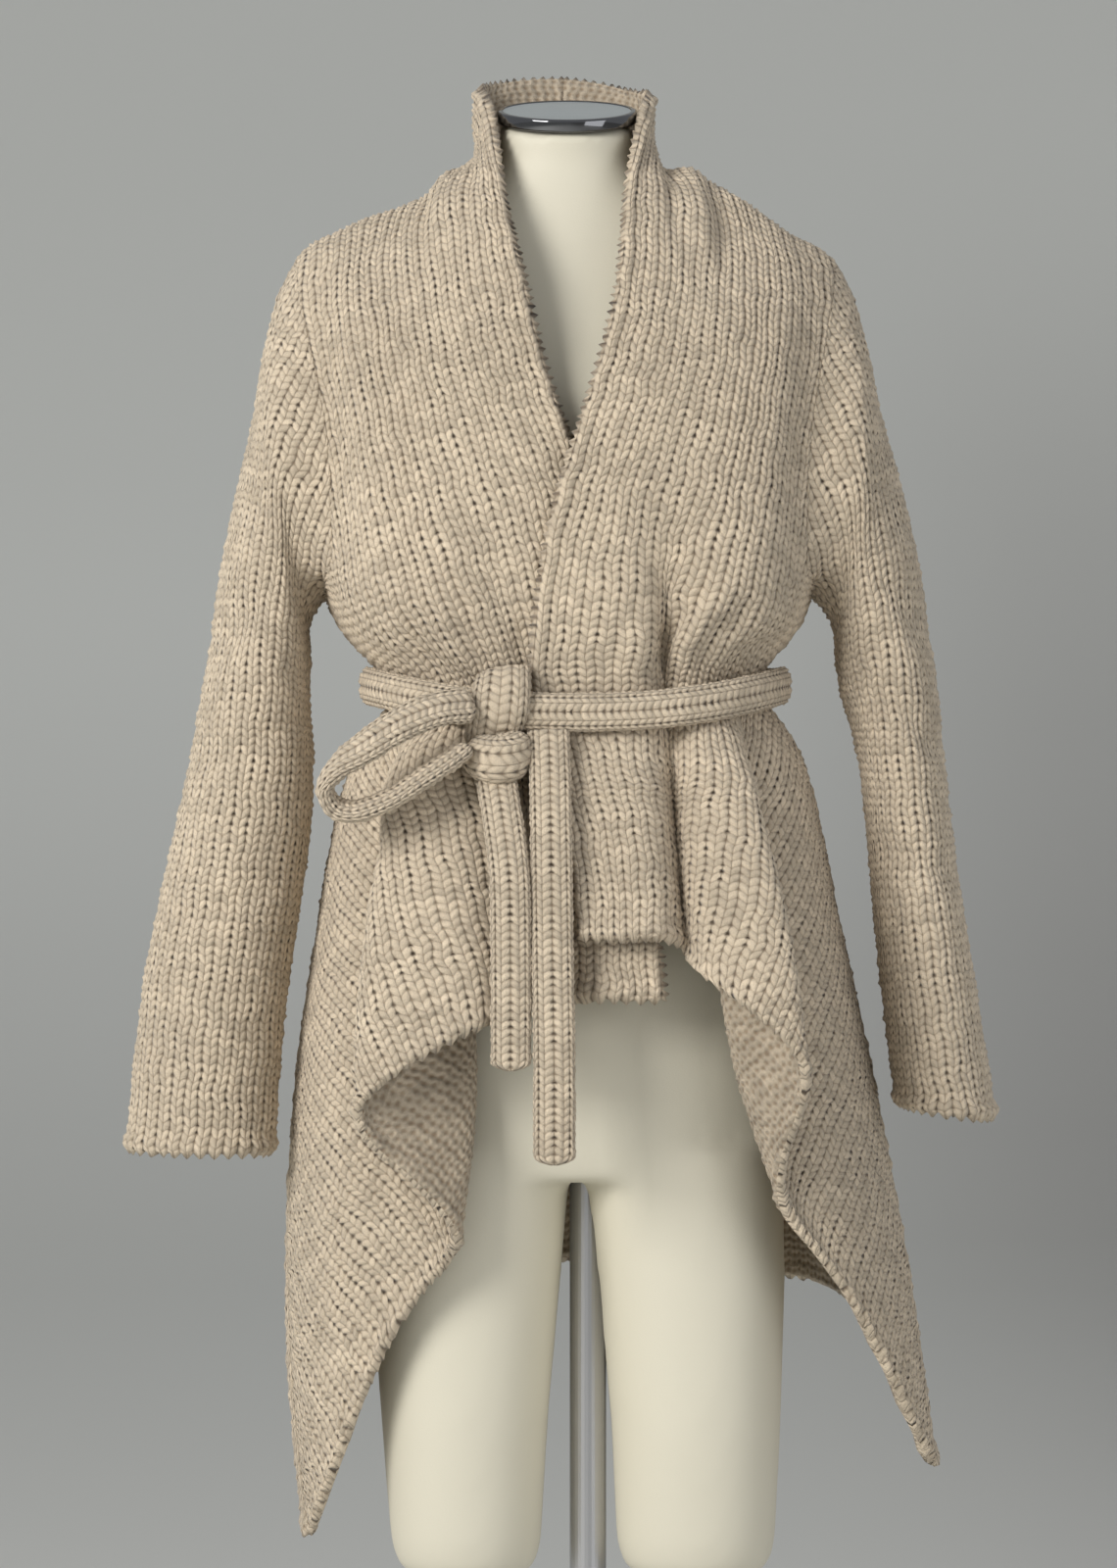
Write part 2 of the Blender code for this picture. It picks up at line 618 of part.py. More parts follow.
def panel_wall(name, surface, collection):
    """Makes one panel's closed wall: an outer side, an inner side and a rim."""
    points, normals, quads, panels = surface
    own = [quad for quad, panel in zip(quads, panels) if panel == name]
    others = {point for quad, panel in zip(quads, panels) if panel != name for point in quad}
    used = sorted({point for quad in own for point in quad})
    shifts = seam_shift(points, normals, own, others & set(used))
    order = {point: number for number, point in enumerate(used)}
    count = len(used)
    base = np.array([points[point] + shifts.get(point, 0) for point in used])
    reach = np.array([normals[point] for point in used]) * WALL / 2
    vertices = np.vstack((base + reach, base - reach))
    faces = [tuple(order[point] for point in quad) for quad in own]
    walls = faces + [tuple(count + corner for corner in reversed(face)) for face in faces]
    directed = {(a, b) for face in faces for a, b in zip(face, face[1:] + face[:1])}
    for first, second in sorted(directed):
        if (second, first) in directed:
            continue
        outer = (first, second)
        inner = (count + first, count + second)
        if used[first] < used[second]:
            walls += [(outer[1], outer[0], inner[1]), (outer[0], inner[0], inner[1])]
        else:
            walls += [(outer[1], outer[0], inner[0]), (outer[1], inner[0], inner[1])]
    mesh = bpy.data.meshes.new(name)
    mesh.from_pydata([tuple(vertex) for vertex in vertices], [], walls)
    mesh.shade_smooth()
    return add_object(name, mesh, collection, KNIT)


def smooth_route(route, stations, closed=False):
    """Returns evenly spread points on a smooth curve through a route in millimetres."""
    nodes = [Vector(point) * MM for point in route]
    count = len(nodes)
    spans = count if closed else count - 1
    fine = []
    for span in range(spans):
        if closed:
            around = [nodes[(span + shift) % count] for shift in (-1, 0, 1, 2)]
        else:
            around = [nodes[min(max(span + shift, 0), count - 1)] for shift in (-1, 0, 1, 2)]
        before, start, end, after = around
        for step in range(8):
            t = step / 8
            fine.append(start + (end - before) * (t / 2) + (before * 2 - start * 5 + end * 4 - after) * (t * t / 2)
                        + (start * 3 - before - end * 3 + after) * (t ** 3 / 2))
    fine.append(nodes[0] if closed else nodes[-1])
    lengths = [0.0]
    for first, second in zip(fine, fine[1:]):
        lengths.append(lengths[-1] + (second - first).length)
    total = lengths[-1]
    picks = [total * number / (stations if closed else stations - 1) for number in range(stations)]
    result = []
    for pick in picks:
        span = min(max(np.searchsorted(lengths, pick) - 1, 0), len(fine) - 2)
        share = (pick - lengths[span]) / max(1e-9, lengths[span + 1] - lengths[span])
        result.append(fine[span].lerp(fine[span + 1], min(1.0, share)))
    return result


def sweep_mesh(name, path, width, thick, width_axis, closed=False):
    """Makes a flat tube along a path. Open ends close with a smaller, rounded ring."""
    count = len(path)
    mesh = bmesh.new()
    rings = []
    for number, centre in enumerate(path):
        after = path[(number + 1) % count] if closed else path[min(number + 1, count - 1)]
        before = path[number - 1] if closed else path[max(number - 1, 0)]
        along = (after - before).normalized()
        across = Vector(width_axis)
        across = (across - along * across.dot(along)).normalized()
        up = along.cross(across)
        shrink = 1.0 if closed or 0 < number < count - 1 else 0.72
        ring = []
        for side in range(TUBE_SIDES):
            angle = 2 * math.pi * side / TUBE_SIDES
            flat = abs(math.cos(angle)) ** 0.8 * math.copysign(1, math.cos(angle))
            ring.append(mesh.verts.new(centre + across * (flat * width / 2 * shrink)
                                       + up * (math.sin(angle) * thick / 2 * shrink)))
        rings.append(ring)
    spans = count if closed else count - 1
    for span in range(spans):
        first, second = rings[span], rings[(span + 1) % count]
        for side in range(TUBE_SIDES):
            after = (side + 1) % TUBE_SIDES
            mesh.faces.new((first[side], second[side], second[after], first[after]))
    if not closed:
        mesh.faces.new(rings[0])
        mesh.faces.new(rings[-1][::-1])
    bmesh.ops.recalc_face_normals(mesh, faces=mesh.faces)
    data = bpy.data.meshes.new(name)
    mesh.to_mesh(data)
    mesh.free()
    data.shade_smooth()
    return data


def superellipse(angle, half_width, front, back, roundness):
    """Returns the point of a rounded section at an angle from the front, turning to +X."""
    sine = math.copysign(abs(math.sin(angle)) ** (2 / roundness), math.sin(angle))
    cosine = math.copysign(abs(math.cos(angle)) ** (2 / roundness), math.cos(angle))
    return half_width * sine, -(front if cosine > 0 else back) * cosine


def belt_route():
    """Returns the belt's closed route round the waist, lowest at the knot."""
    route = []
    for station in range(BELT_STATIONS):
        angle = 2 * math.pi * station / BELT_STATIONS
        x, y = superellipse(angle, BELT_HALF_WIDTH, BELT_FRONT, BELT_BACK, BELT_ROUNDNESS)
        side = math.sin(angle) ** 2
        level = BELT_FRONT_Z if math.cos(angle) > 0 else BELT_BACK_Z
        route.append((BELT_MIDDLE_X + x, y, level + (BELT_SIDE_Z - level) * side))
    return route


def surface_tree(mesh):
    """Returns a search tree of a mesh's faces."""
    return BVHTree.FromPolygons([vertex.co for vertex in mesh.vertices],
                                [tuple(polygon.vertices) for polygon in mesh.polygons])


def travel(mover, carriers, direction, above=-math.inf):
    """Returns how far a mesh can go in a direction before it meets a carrier, looking only above a level."""
    mover_tree = surface_tree(mover)
    way = Vector(direction)
    nearest = math.inf
    for carrier in carriers:
        carrier_tree = surface_tree(carrier)
        rays = [(carrier_tree, vertex.co, way) for vertex in mover.vertices]
        rays += [(mover_tree, vertex.co, -way) for vertex in carrier.vertices]
        for tree, start, ray in rays:
            distance = tree.ray_cast(start, ray)[3] if start.z > above else None
            if distance is not None:
                nearest = min(nearest, distance)
    return nearest


def add_belt(collection):
    """Adds the belt: the band round the waist, then the knot, the loop and the tails, each on its carrier."""
    band = smooth_route(belt_route(), BELT_STATIONS, closed=True)
    mesh = sweep_mesh("belt_band", band, BELT_HEIGHT, BELT_THICK, (0, 0, 1), closed=True)
    meshes = {"belt_band": mesh}
    add_object("belt_band", mesh, collection, KNIT)
    for name, sweep in BELT_SWEEPS.items():
        path = smooth_route(sweep.route, sweep.stations)
        mesh = sweep_mesh(name, path, sweep.width * MM, sweep.thick * MM, sweep.width_axis)
        seat = travel(mesh, [meshes[sweep.carrier]], sweep.towards) - BELT_SEAT_GAP
        mesh.transform(Matrix.Translation(Vector(sweep.towards) * seat))
        meshes[name] = mesh
        add_object(name, mesh, collection, KNIT)


def loft_mesh(name, sections, top_tilt=0.0):
    """Makes a closed loft through level sections. The last one may tilt forward."""
    mesh = bmesh.new()
    rings = []
    for number, section in enumerate(sections):
        tilt = math.tan(top_tilt) if number == len(sections) - 1 else 0.0
        ring = []
        for side in range(FORM_SIDES):
            angle = 2 * math.pi * side / FORM_SIDES
            x, y = superellipse(angle, section.half_width, section.front, section.back, FORM_ROUNDNESS)
            ring.append(mesh.verts.new(((section.middle_x + x) * MM, y * MM, (section.z + y * tilt) * MM)))
        rings.append(ring)
    for lower, upper in zip(rings, rings[1:]):
        for side in range(FORM_SIDES):
            after = (side + 1) % FORM_SIDES
            mesh.faces.new((lower[side], lower[after], upper[after], upper[side]))
    mesh.faces.new(rings[0][::-1])
    mesh.faces.new(rings[-1])
    bmesh.ops.recalc_face_normals(mesh, faces=mesh.faces)
    data = bpy.data.meshes.new(name)
    mesh.to_mesh(data)
    mesh.free()
    return data


def cylinder_mesh(name, radius, height, segments=48):
    """Makes an upright cylinder with its middle at the origin."""
    mesh = bmesh.new()
    bmesh.ops.create_cone(mesh, cap_ends=True, segments=segments, radius1=radius, radius2=radius, depth=height)
    data = bpy.data.meshes.new(name)
    mesh.to_mesh(data)
    mesh.free()
    return data


def add_boolean(obj, cutter, operation):
    """Joins or cuts an object by another with an exact Boolean."""
    modifier = obj.modifiers.new(f"{operation.title()} {cutter.name}", "BOOLEAN")
    modifier.operation = operation
    modifier.object = cutter


def add_form(collection, guides, garment):
    """Adds the dress form: its torso with thigh stubs, neck cap, pole and base."""
    trunk = loft_mesh("form_torso", TRUNK + (NECK_TOP,), NECK_TILT)
    cloth = [obj.data for obj in garment]
    lift = travel(trunk, cloth, (0, 0, 1), SHOULDER_LEVEL * MM) - FORM_SEAT_GAP
    place = Matrix.Translation((0, 0, lift))
    trunk.transform(place)
    torso = add_object("form_torso", trunk, collection, SHELL)
    for name, sections in (("thigh_right", RIGHT_THIGH), ("thigh_left", LEFT_THIGH)):
        thigh = add_object(name, loft_mesh(name, sections), guides)
        thigh.hide_render = True
        thigh.display_type = "WIRE"
        add_boolean(torso, thigh, "UNION")
    bore = add_object("pole_bore", cylinder_mesh("pole_bore", POLE_RADIUS + BORE_CLEARANCE, BORE_DEPTH), guides)
    bore.location = (POLE_X, 0, POLE_TOP + BORE_CLEARANCE - BORE_DEPTH / 2)
    bore.hide_render = True
    bore.display_type = "WIRE"
    add_boolean(torso, bore, "DIFFERENCE")
    cap_radius = NECK_TOP.half_width * MM
    cap = add_object("form_neck_cap", cylinder_mesh("form_neck_cap", cap_radius, CAP_THICK), collection, CHROME)
    cap.rotation_euler = (NECK_TILT, 0, 0)
    normal = Vector((0, -math.sin(NECK_TILT), math.cos(NECK_TILT)))
    neck_middle = Vector((NECK_TOP.middle_x * MM, 0, NECK_TOP.z * MM + lift))
    cap.location = neck_middle + normal * (CAP_THICK / 2 + SEAM_GAP)
    pole_length = POLE_TOP - BASE_THICK - SEAM_GAP
    pole = add_object("form_pole", cylinder_mesh("form_pole", POLE_RADIUS, pole_length, 32), collection, STEEL)
    pole.location = (POLE_X, 0, BASE_THICK + SEAM_GAP + pole_length / 2)
    base = add_object("form_base", cylinder_mesh("form_base", BASE_RADIUS, BASE_THICK, 64), collection, STEEL)
    base.location = (POLE_X, 0, BASE_THICK / 2)
    bevel = base.modifiers.new("Bevel", "BEVEL")
    bevel.width = BASE_BEVEL
    bevel.segments = 2


def main():
    """Builds the cardigan and the form it hangs on."""
    clear_scene()
    collection = make_collection("wrap cardigan")
    guides = make_collection("guides")
    surface = smooth_cage(build_cage(), guides)
    garment = [panel_wall(name, surface, collection) for name in dict.fromkeys(surface[3])]
    add_belt(collection)
    add_form(collection, guides, garment)


main()
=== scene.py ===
"""Looks of a buttonless wrap cardigan on a limbless dress form.

The knitted body, collar and sleeves follow the same cage of named fold lines as their solids. Each panel is
sampled finely on that smooth surface, gets its stitches as a relief in stitch coordinates, and is closed with
an inner side. Tables are in millimetres, everything else is in metres. "Right" and "left" are the wearer's:
right is at -X.
"""

import logging
import math
from dataclasses import dataclass, field
from enum import Enum
from typing import Iterable, NamedTuple, Optional

import bmesh
import bpy
import numpy as np
from mathutils import Matrix, Vector


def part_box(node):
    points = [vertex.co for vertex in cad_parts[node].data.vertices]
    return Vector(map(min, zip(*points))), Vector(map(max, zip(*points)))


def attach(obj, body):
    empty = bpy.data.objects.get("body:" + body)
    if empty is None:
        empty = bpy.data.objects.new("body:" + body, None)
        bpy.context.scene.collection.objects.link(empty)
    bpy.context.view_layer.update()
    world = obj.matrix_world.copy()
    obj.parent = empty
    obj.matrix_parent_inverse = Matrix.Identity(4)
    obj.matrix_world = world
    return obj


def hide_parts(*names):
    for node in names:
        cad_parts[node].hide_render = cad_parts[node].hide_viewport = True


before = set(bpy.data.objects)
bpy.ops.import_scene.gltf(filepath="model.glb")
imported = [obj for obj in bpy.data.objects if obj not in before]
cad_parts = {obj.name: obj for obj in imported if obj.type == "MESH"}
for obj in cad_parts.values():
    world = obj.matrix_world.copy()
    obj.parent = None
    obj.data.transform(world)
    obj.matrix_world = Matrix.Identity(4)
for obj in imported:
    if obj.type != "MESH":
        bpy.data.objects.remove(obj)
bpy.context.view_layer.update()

LOG = logging.getLogger("cardigan")
MM = 0.001
WALL = 5.5 * MM
WALE = 9.3 * MM
COURSE = 6.2 * MM
FIT_ROUNDS = 24
SURFACE_LEVELS = 4
GRID = 2 ** SURFACE_LEVELS
DENSITY = 1.0
WELD = 0.02 * MM

# Rows and fold lines of the body cage, as in the solids.
COLLAR_ROWS = ("nape", "collar_side")
BODICE_ROWS = ("shoulder", "collarbone", "upper_chest", "chest", "armpit", "midriff", "waist", "hip")
SKIRT_STEPS = 5
SKIRT_ROWS = tuple(f"skirt{step}" for step in range(1, SKIRT_STEPS + 1))
BODY_ROWS = BODICE_ROWS + SKIRT_ROWS
ARMHOLE_ROWS = ("shoulder", "collarbone", "upper_chest", "chest", "armpit")
FOLDS = ("edge", "strip", "fold", "valley", "crest", "ridge", "turn", "tuck", "flank", "side")
COLLAR_FOLDS = FOLDS[:4]

# Samples across each column of a panel and down each of its rows.
COLUMN_SAMPLES = {"edge": 12, "strip": 12, "fold": 8, "valley": 12, "crest": 20, "ridge": 16, "turn": 16,
                  "tuck": 28, "flank": 36}
ROW_SAMPLES = {"nape": 30, "collar_side": 26, "shoulder": 30, "collarbone": 34, "upper_chest": 36,
               "chest": 42, "armpit": 36, "midriff": 24, "waist": 22, "hip": 40, "skirt1": 40, "skirt2": 40,
               "skirt3": 40, "skirt4": 40}
BACK_COLUMN_SAMPLES = {"side": 8, "flank": 12, "tuck": 12, "turn": 12, "ridge": 12, "crest": 12, "valley": 12,
                       "collar_side": 16}
SLEEVE_AROUND_SAMPLES = 12
SLEEVE_DOWN_SAMPLES = (20, 30, 36, 44, 44, 48, 48)
PURL_FOLDS = ("ridge", "turn")
INNER_STEP = 4


class FrontSection(NamedTuple):
    """One row of a front: where each fold line is, as (x, y, z) in millimetres."""

    row: str
    edge: tuple
    strip: tuple
    fold: tuple
    valley: tuple
    crest: Optional[tuple] = None
    ridge: Optional[tuple] = None
    turn: Optional[tuple] = None
    tuck: Optional[tuple] = None
    flank: Optional[tuple] = None
    side: Optional[tuple] = None


# The wearer's left front lies on top and its skirt falls in a deep zigzag: crest, ridge, tuck, side.
LEFT_FRONT = (
    FrontSection("nape", (-3, 76, 1545), (-4, 67, 1524), (-4, 61, 1494), (-4, 70, 1441)),
    FrontSection("collar_side", (52, 47, 1531), (53, 42, 1512), (54, 39, 1487), (60, 44, 1447)),
    FrontSection("shoulder", (54, -4, 1513), (59, 4, 1494), (64, 4, 1474), (84, 3, 1459),
                 (109, 1, 1449), (133, 0, 1434), (158, 0, 1418), (188, 0, 1401)),
    FrontSection("collarbone", (41, -62, 1445), (58, -54, 1449), (77, -49, 1443), (97, -47, 1432),
                 (116, -46, 1420), (137, -46, 1406), (158, -46, 1391), (183, -42, 1364)),
    FrontSection("upper_chest", (35, -100, 1376), (57, -98, 1374), (78, -94, 1370), (98, -91, 1364),
                 (117, -88, 1357), (136, -83, 1348), (154, -76, 1336), (174, -62, 1312)),
    FrontSection("chest", (16, -118, 1300), (42, -119, 1299), (68, -116, 1297), (90, -111, 1294),
                 (110, -107, 1289), (129, -100, 1282), (147, -89, 1272), (166, -70, 1252)),
    FrontSection("armpit", (-10, -123, 1215), (18, -124, 1214), (46, -121, 1212), (70, -114, 1209),
                 (93, -116, 1207), (117, -112, 1203), (141, -99, 1197), (164, -68, 1188),
                 (171, -36, 1174), (173, 0, 1166)),
    FrontSection("midriff", (-23, -117, 1135), (9, -119, 1135), (52, -115, 1134), (66, -95, 1134),
                 (80, -109, 1134), (105, -107, 1136), (130, -95, 1138), (148, -70, 1139),
                 (158, -36, 1141), (160, 0, 1141)),
    FrontSection("waist", (-24, -107, 1084), (14, -108, 1085), (52, -102, 1088), (66, -84, 1090),
                 (80, -92, 1091), (96, -84, 1093), (111, -71, 1095), (122, -55, 1097),
                 (131, -31, 1099), (134, 0, 1100)),
    FrontSection("hip", (-14, -118, 1043), (20, -121, 1043), (55, -117, 1043), (70, -95, 1043),
                 (87, -113, 1043), (114, -114, 1043), (121, -95, 1045), (119, -76, 1047),
                 (147, -46, 1049), (162, 0, 1052)),
)
LEFT_SKIRT_MIDDLE = FrontSection(
    "middle", (0, -131, 985), (33, -135, 985), (61, -131, 985), (76, -102, 978), (91, -133, 973),
    (141, -146, 950), (126, -121, 925), (107, -95, 900), (170, -72, 862), (219, 0, 800))
LEFT_HEM = FrontSection(
    "hem", (6, -141, 927), (38, -146, 926), (65, -142, 926), (82, -119, 914), (99, -148, 896),
    (155, -160, 846), (150, -138, 788), (150, -110, 735), (198, -80, 667), (257, -10, 548))

# The wearer's right front passes under the other: its free edge ends inside the fold of the left front.
RIGHT_FRONT = (
    FrontSection("nape", (-3, 76, 1545), (-4, 67, 1524), (-4, 61, 1494), (-4, 70, 1441)),
    FrontSection("collar_side", (-59, 47, 1536), (-61, 42, 1515), (-61, 39, 1489), (-66, 44, 1447)),
    FrontSection("shoulder", (-56, -4, 1513), (-65, 4, 1494), (-69, 4, 1474), (-88, 3, 1452),
                 (-113, 1, 1438), (-139, 0, 1430), (-164, 0, 1420), (-192, 0, 1402)),
    FrontSection("collarbone", (-46, -62, 1445), (-63, -54, 1449), (-81, -49, 1441), (-100, -47, 1428),
                 (-119, -46, 1415), (-141, -46, 1403), (-162, -46, 1389), (-186, -42, 1364)),
    FrontSection("upper_chest", (-31, -100, 1376), (-55, -98, 1374), (-78, -94, 1370), (-98, -91, 1364),
                 (-117, -88, 1357), (-136, -83, 1348), (-155, -76, 1336), (-174, -62, 1312)),
    FrontSection("chest", (-12, -109, 1300), (-39, -112, 1299), (-66, -111, 1297), (-89, -108, 1294),
                 (-109, -104, 1289), (-129, -98, 1282), (-147, -88, 1272), (-165, -69, 1252)),
    FrontSection("armpit", (20, -109, 1215), (-8, -113, 1214), (-37, -115, 1212), (-64, -114, 1209),
                 (-90, -113, 1206), (-115, -108, 1202), (-139, -97, 1197), (-163, -67, 1188),
                 (-170, -36, 1174), (-172, 0, 1166)),
    FrontSection("midriff", (38, -105, 1135), (14, -108, 1135), (-14, -109, 1134), (-38, -104, 1133),
                 (-62, -109, 1134), (-93, -106, 1136), (-123, -94, 1138), (-145, -69, 1139),
                 (-156, -36, 1141), (-159, 0, 1141)),
    FrontSection("waist", (44, -94, 1088), (20, -97, 1087), (-4, -98, 1086), (-27, -94, 1086),
                 (-48, -97, 1087), (-71, -91, 1089), (-94, -78, 1092), (-111, -58, 1094),
                 (-121, -31, 1096), (-124, 0, 1096)),
    FrontSection("hip", (49, -104, 1048), (26, -107, 1048), (-2, -108, 1048), (-27, -93, 1048),
                 (-52, -110, 1043), (-108, -109, 1041), (-117, -90, 1043), (-113, -72, 1045),
                 (-139, -45, 1048), (-149, 0, 1050)),
)
RIGHT_SKIRT_MIDDLE = FrontSection(
    "middle", (57, -116, 968), (35, -120, 968), (11, -118, 966), (-20, -102, 962), (-57, -134, 958),
    (-132, -142, 930), (-108, -117, 905), (-70, -95, 885), (-148, -78, 850), (-195, 0, 775))
RIGHT_HEM = FrontSection(
    "hem", (64, -126, 884), (41, -130, 884), (16, -128, 884), (-18, -106, 878), (-58, -147, 868),
    (-139, -158, 816), (-112, -136, 766), (-77, -112, 714), (-123, -84, 647), (-182, -22, 500))

# The back runs from side seam to side seam, in the fronts' folds, the side of the collar and the centre.
BACK_FOLDS = ("side", "flank", "tuck", "turn", "ridge", "crest", "valley", "collar_side")


class BackSection(NamedTuple):
    """One row of the back: heights at the centre and at the side, half widths and depth, in millimetres."""

    row: str
    centre_z: float
    side_z: float
    half_right: float
    half_left: float
    depth: float
    side_depth: float


BACK_SECTIONS = (
    BackSection("collarbone", 1398, 1364, 186, 183, 84, 40),
    BackSection("upper_chest", 1345, 1312, 176, 176, 100, 58),
    BackSection("chest", 1282, 1252, 170, 171, 108, 64),
    BackSection("armpit", 1210, 1166, 172, 173, 108, 0),
    BackSection("midriff", 1140, 1141, 159, 160, 98, 0),
    BackSection("waist", 1104, 1098, 124, 134, 81, 0),
    BackSection("hip", 1060, 1050, 149, 162, 95, 0),
)
BACK_MIDDLE = BackSection("middle", 870, 788, 195, 219, 146, 0)
BACK_HEM_DEPTH = 168
BACK_WIDTH_SHARE = {"side": 1.0, "flank": 0.985, "tuck": 0.93, "turn": 0.83, "ridge": 0.71, "crest": 0.57,
                    "valley": 0.43, "collar_side": 0.25, "centre": 0.0}
BACK_ARMHOLE_SHARE = {"tuck": 1.0, "turn": 0.85, "ridge": 0.72, "crest": 0.59, "valley": 0.46,
                      "collar_side": 0.28, "centre": 0.0}
BACK_HEM_RIGHT_Z = {"side": 500, "flank": 548, "tuck": 606, "turn": 640, "ridge": 657, "crest": 664,
                    "valley": 668, "collar_side": 670, "centre": 671}
BACK_HEM_LEFT_Z = {"side": 548, "flank": 580, "tuck": 628, "turn": 648, "ridge": 660, "crest": 665,
                   "valley": 668, "collar_side": 670, "centre": 671}
BACK_RIPPLE = {"side": 0, "flank": 0, "tuck": 0.5, "turn": -0.7, "ridge": 0.8, "crest": -0.9,
               "valley": 0.8, "collar_side": -0.8, "centre": 0.7}
BACK_RIPPLE_HEM = 11
BACK_ROUNDNESS = 2.4


class SleeveRing(NamedTuple):
    """A ring of a sleeve from its outer to its inner point, with its half depth and the Y of its middle."""

    outer_x: float
    outer_z: float
    inner_x: float
    inner_z: float
    half_depth: float
    middle_y: float


LEFT_SLEEVE = (
    SleeveRing(207, 1352, 190, 1148, 68, 0),
    SleeveRing(221, 1290, 195, 1120, 64, 2),
    SleeveRing(242, 1212, 199, 1092, 60, 3),
    SleeveRing(261, 1090, 209, 1056, 56, 2),
    SleeveRing(271, 995, 217, 985, 54, 0),
    SleeveRing(286, 893, 226, 888, 53, -4),
    SleeveRing(301, 795, 236, 804, 53, -8),
)
RIGHT_SLEEVE = (
    SleeveRing(-211, 1352, -187, 1147, 67, 0),
    SleeveRing(-222, 1289, -188, 1118, 62, -2),
    SleeveRing(-239, 1212, -188, 1088, 56, -5),
    SleeveRing(-257, 1100, -185, 1052, 50, -9),
    SleeveRing(-277, 995, -188, 984, 45, -13),
    SleeveRing(-298, 890, -202, 886, 39, -18),
    SleeveRing(-310, 773, -211, 771, 34, -22),
)

# Belt: a knitted tube that lies flat.
BELT_HEIGHT = 26 * MM
BELT_THICK = 12 * MM
BELT_MIDDLE_X = 5
BELT_HALF_WIDTH = 147.8
BELT_FRONT = 122.4
BELT_BACK = 99
BELT_ROUNDNESS = 2.3
BELT_FRONT_Z = 1079
BELT_SIDE_Z = 1100
BELT_BACK_Z = 1104
BELT_STATIONS = 44
BELT_COURSE = 5.4 * MM
BELT_WALE = 7.8 * MM
BELT_GIRTH_SHARE = 0.82


class Sweep(NamedTuple):
    """A flat tube along a route in millimetres: its width, thickness, width direction and stations."""

    route: tuple
    width: float
    thick: float
    width_axis: tuple
    stations: int


BELT_SWEEPS = {
    "belt_knot_wrap": Sweep(
        ((-44, -117, 1106), (-45, -126, 1104), (-46, -133, 1096), (-48, -136, 1081), (-51, -132, 1069),
         (-53, -126, 1062), (-54, -118, 1061)), 35, 11, (0.96, 0, 0.22), 12),
    "belt_knot_turn": Sweep(
        ((-65, -121, 1045), (-60, -132, 1038), (-49, -138, 1035), (-38, -134, 1039), (-31, -123, 1050)),
        25, 17, (0.1, 0, 1), 10),
    "belt_loop": Sweep(
        ((-72, -136, 1086), (-96, -147, 1083), (-122, -156, 1072), (-148, -160, 1055), (-164, -160, 1043),
         (-172, -158, 1030), (-166, -156, 1017), (-151, -155, 1014), (-127, -152, 1023), (-104, -147, 1038),
         (-85, -140, 1051), (-76, -136, 1058)), 26, 12, (0, 0.93, 0.37), 40),
    "belt_tail_short": Sweep(
        ((-50, -131, 1024), (-46, -143, 1000), (-41, -153, 960), (-40, -155, 900), (-40, -155, 828)),
        27, 10, (1, 0, 0), 18),
    "belt_tail_long": Sweep(
        ((-14, -125, 1061), (-13, -134, 1034), (-12, -149, 975), (-11, -155, 900), (-10, -156, 830),
         (-10, -156, 768)), 28, 10, (1, 0, 0), 22),
}

# How much the two turns of the knot swell in their middle.
KNOT_BELLY = {"belt_knot_wrap": 0.14, "belt_knot_turn": 0.34}

# The loop's upper half shows its broad side, and turns edge-on towards its lower half.
FIRST_AXIS = {"belt_loop": (0, 0.55, 0.83)}


def mesh_object(mesh: bmesh.types.BMesh, name: str, materials: Iterable = (),
                data_name: str = "") -> bpy.types.Object:
    """Turns a shape into an object of the scene.

    Args:
        mesh: The shape, which is freed.
        name: The object's name.
        materials: Its finishes.
        data_name: The mesh's name, where it isn't the object's.

    Returns:
        The object.
    """
    data = bpy.data.meshes.new(data_name or name)
    mesh.to_mesh(data)
    mesh.free()
    for material in materials:
        data.materials.append(material)
    obj = bpy.data.objects.new(name, data)
    bpy.context.scene.collection.objects.link(obj)
    return obj


def along_line(spots: Iterable, values: np.ndarray) -> np.ndarray:
    """Reads a line of places between its points.

    Args:
        spots: Where to read it, counted in points.
        values: The places.

    Returns:
        One place for each spot.
    """
    return np.stack([np.interp(spots, range(len(values)), values[:, axis]) for axis in range(3)], axis=1)


class Face(Enum):
    """Which side of the knitting a surface shows."""

    KNIT = 0
    PURL = 1


class CageQuad(NamedTuple):
    """A face of the cage: its corners, its panel, the pattern keys of its corners and its samples."""

    corners: tuple
    panel: str
    keys: tuple
    samples_across: int
    samples_down: int
    inner_across: int
    inner_down: int


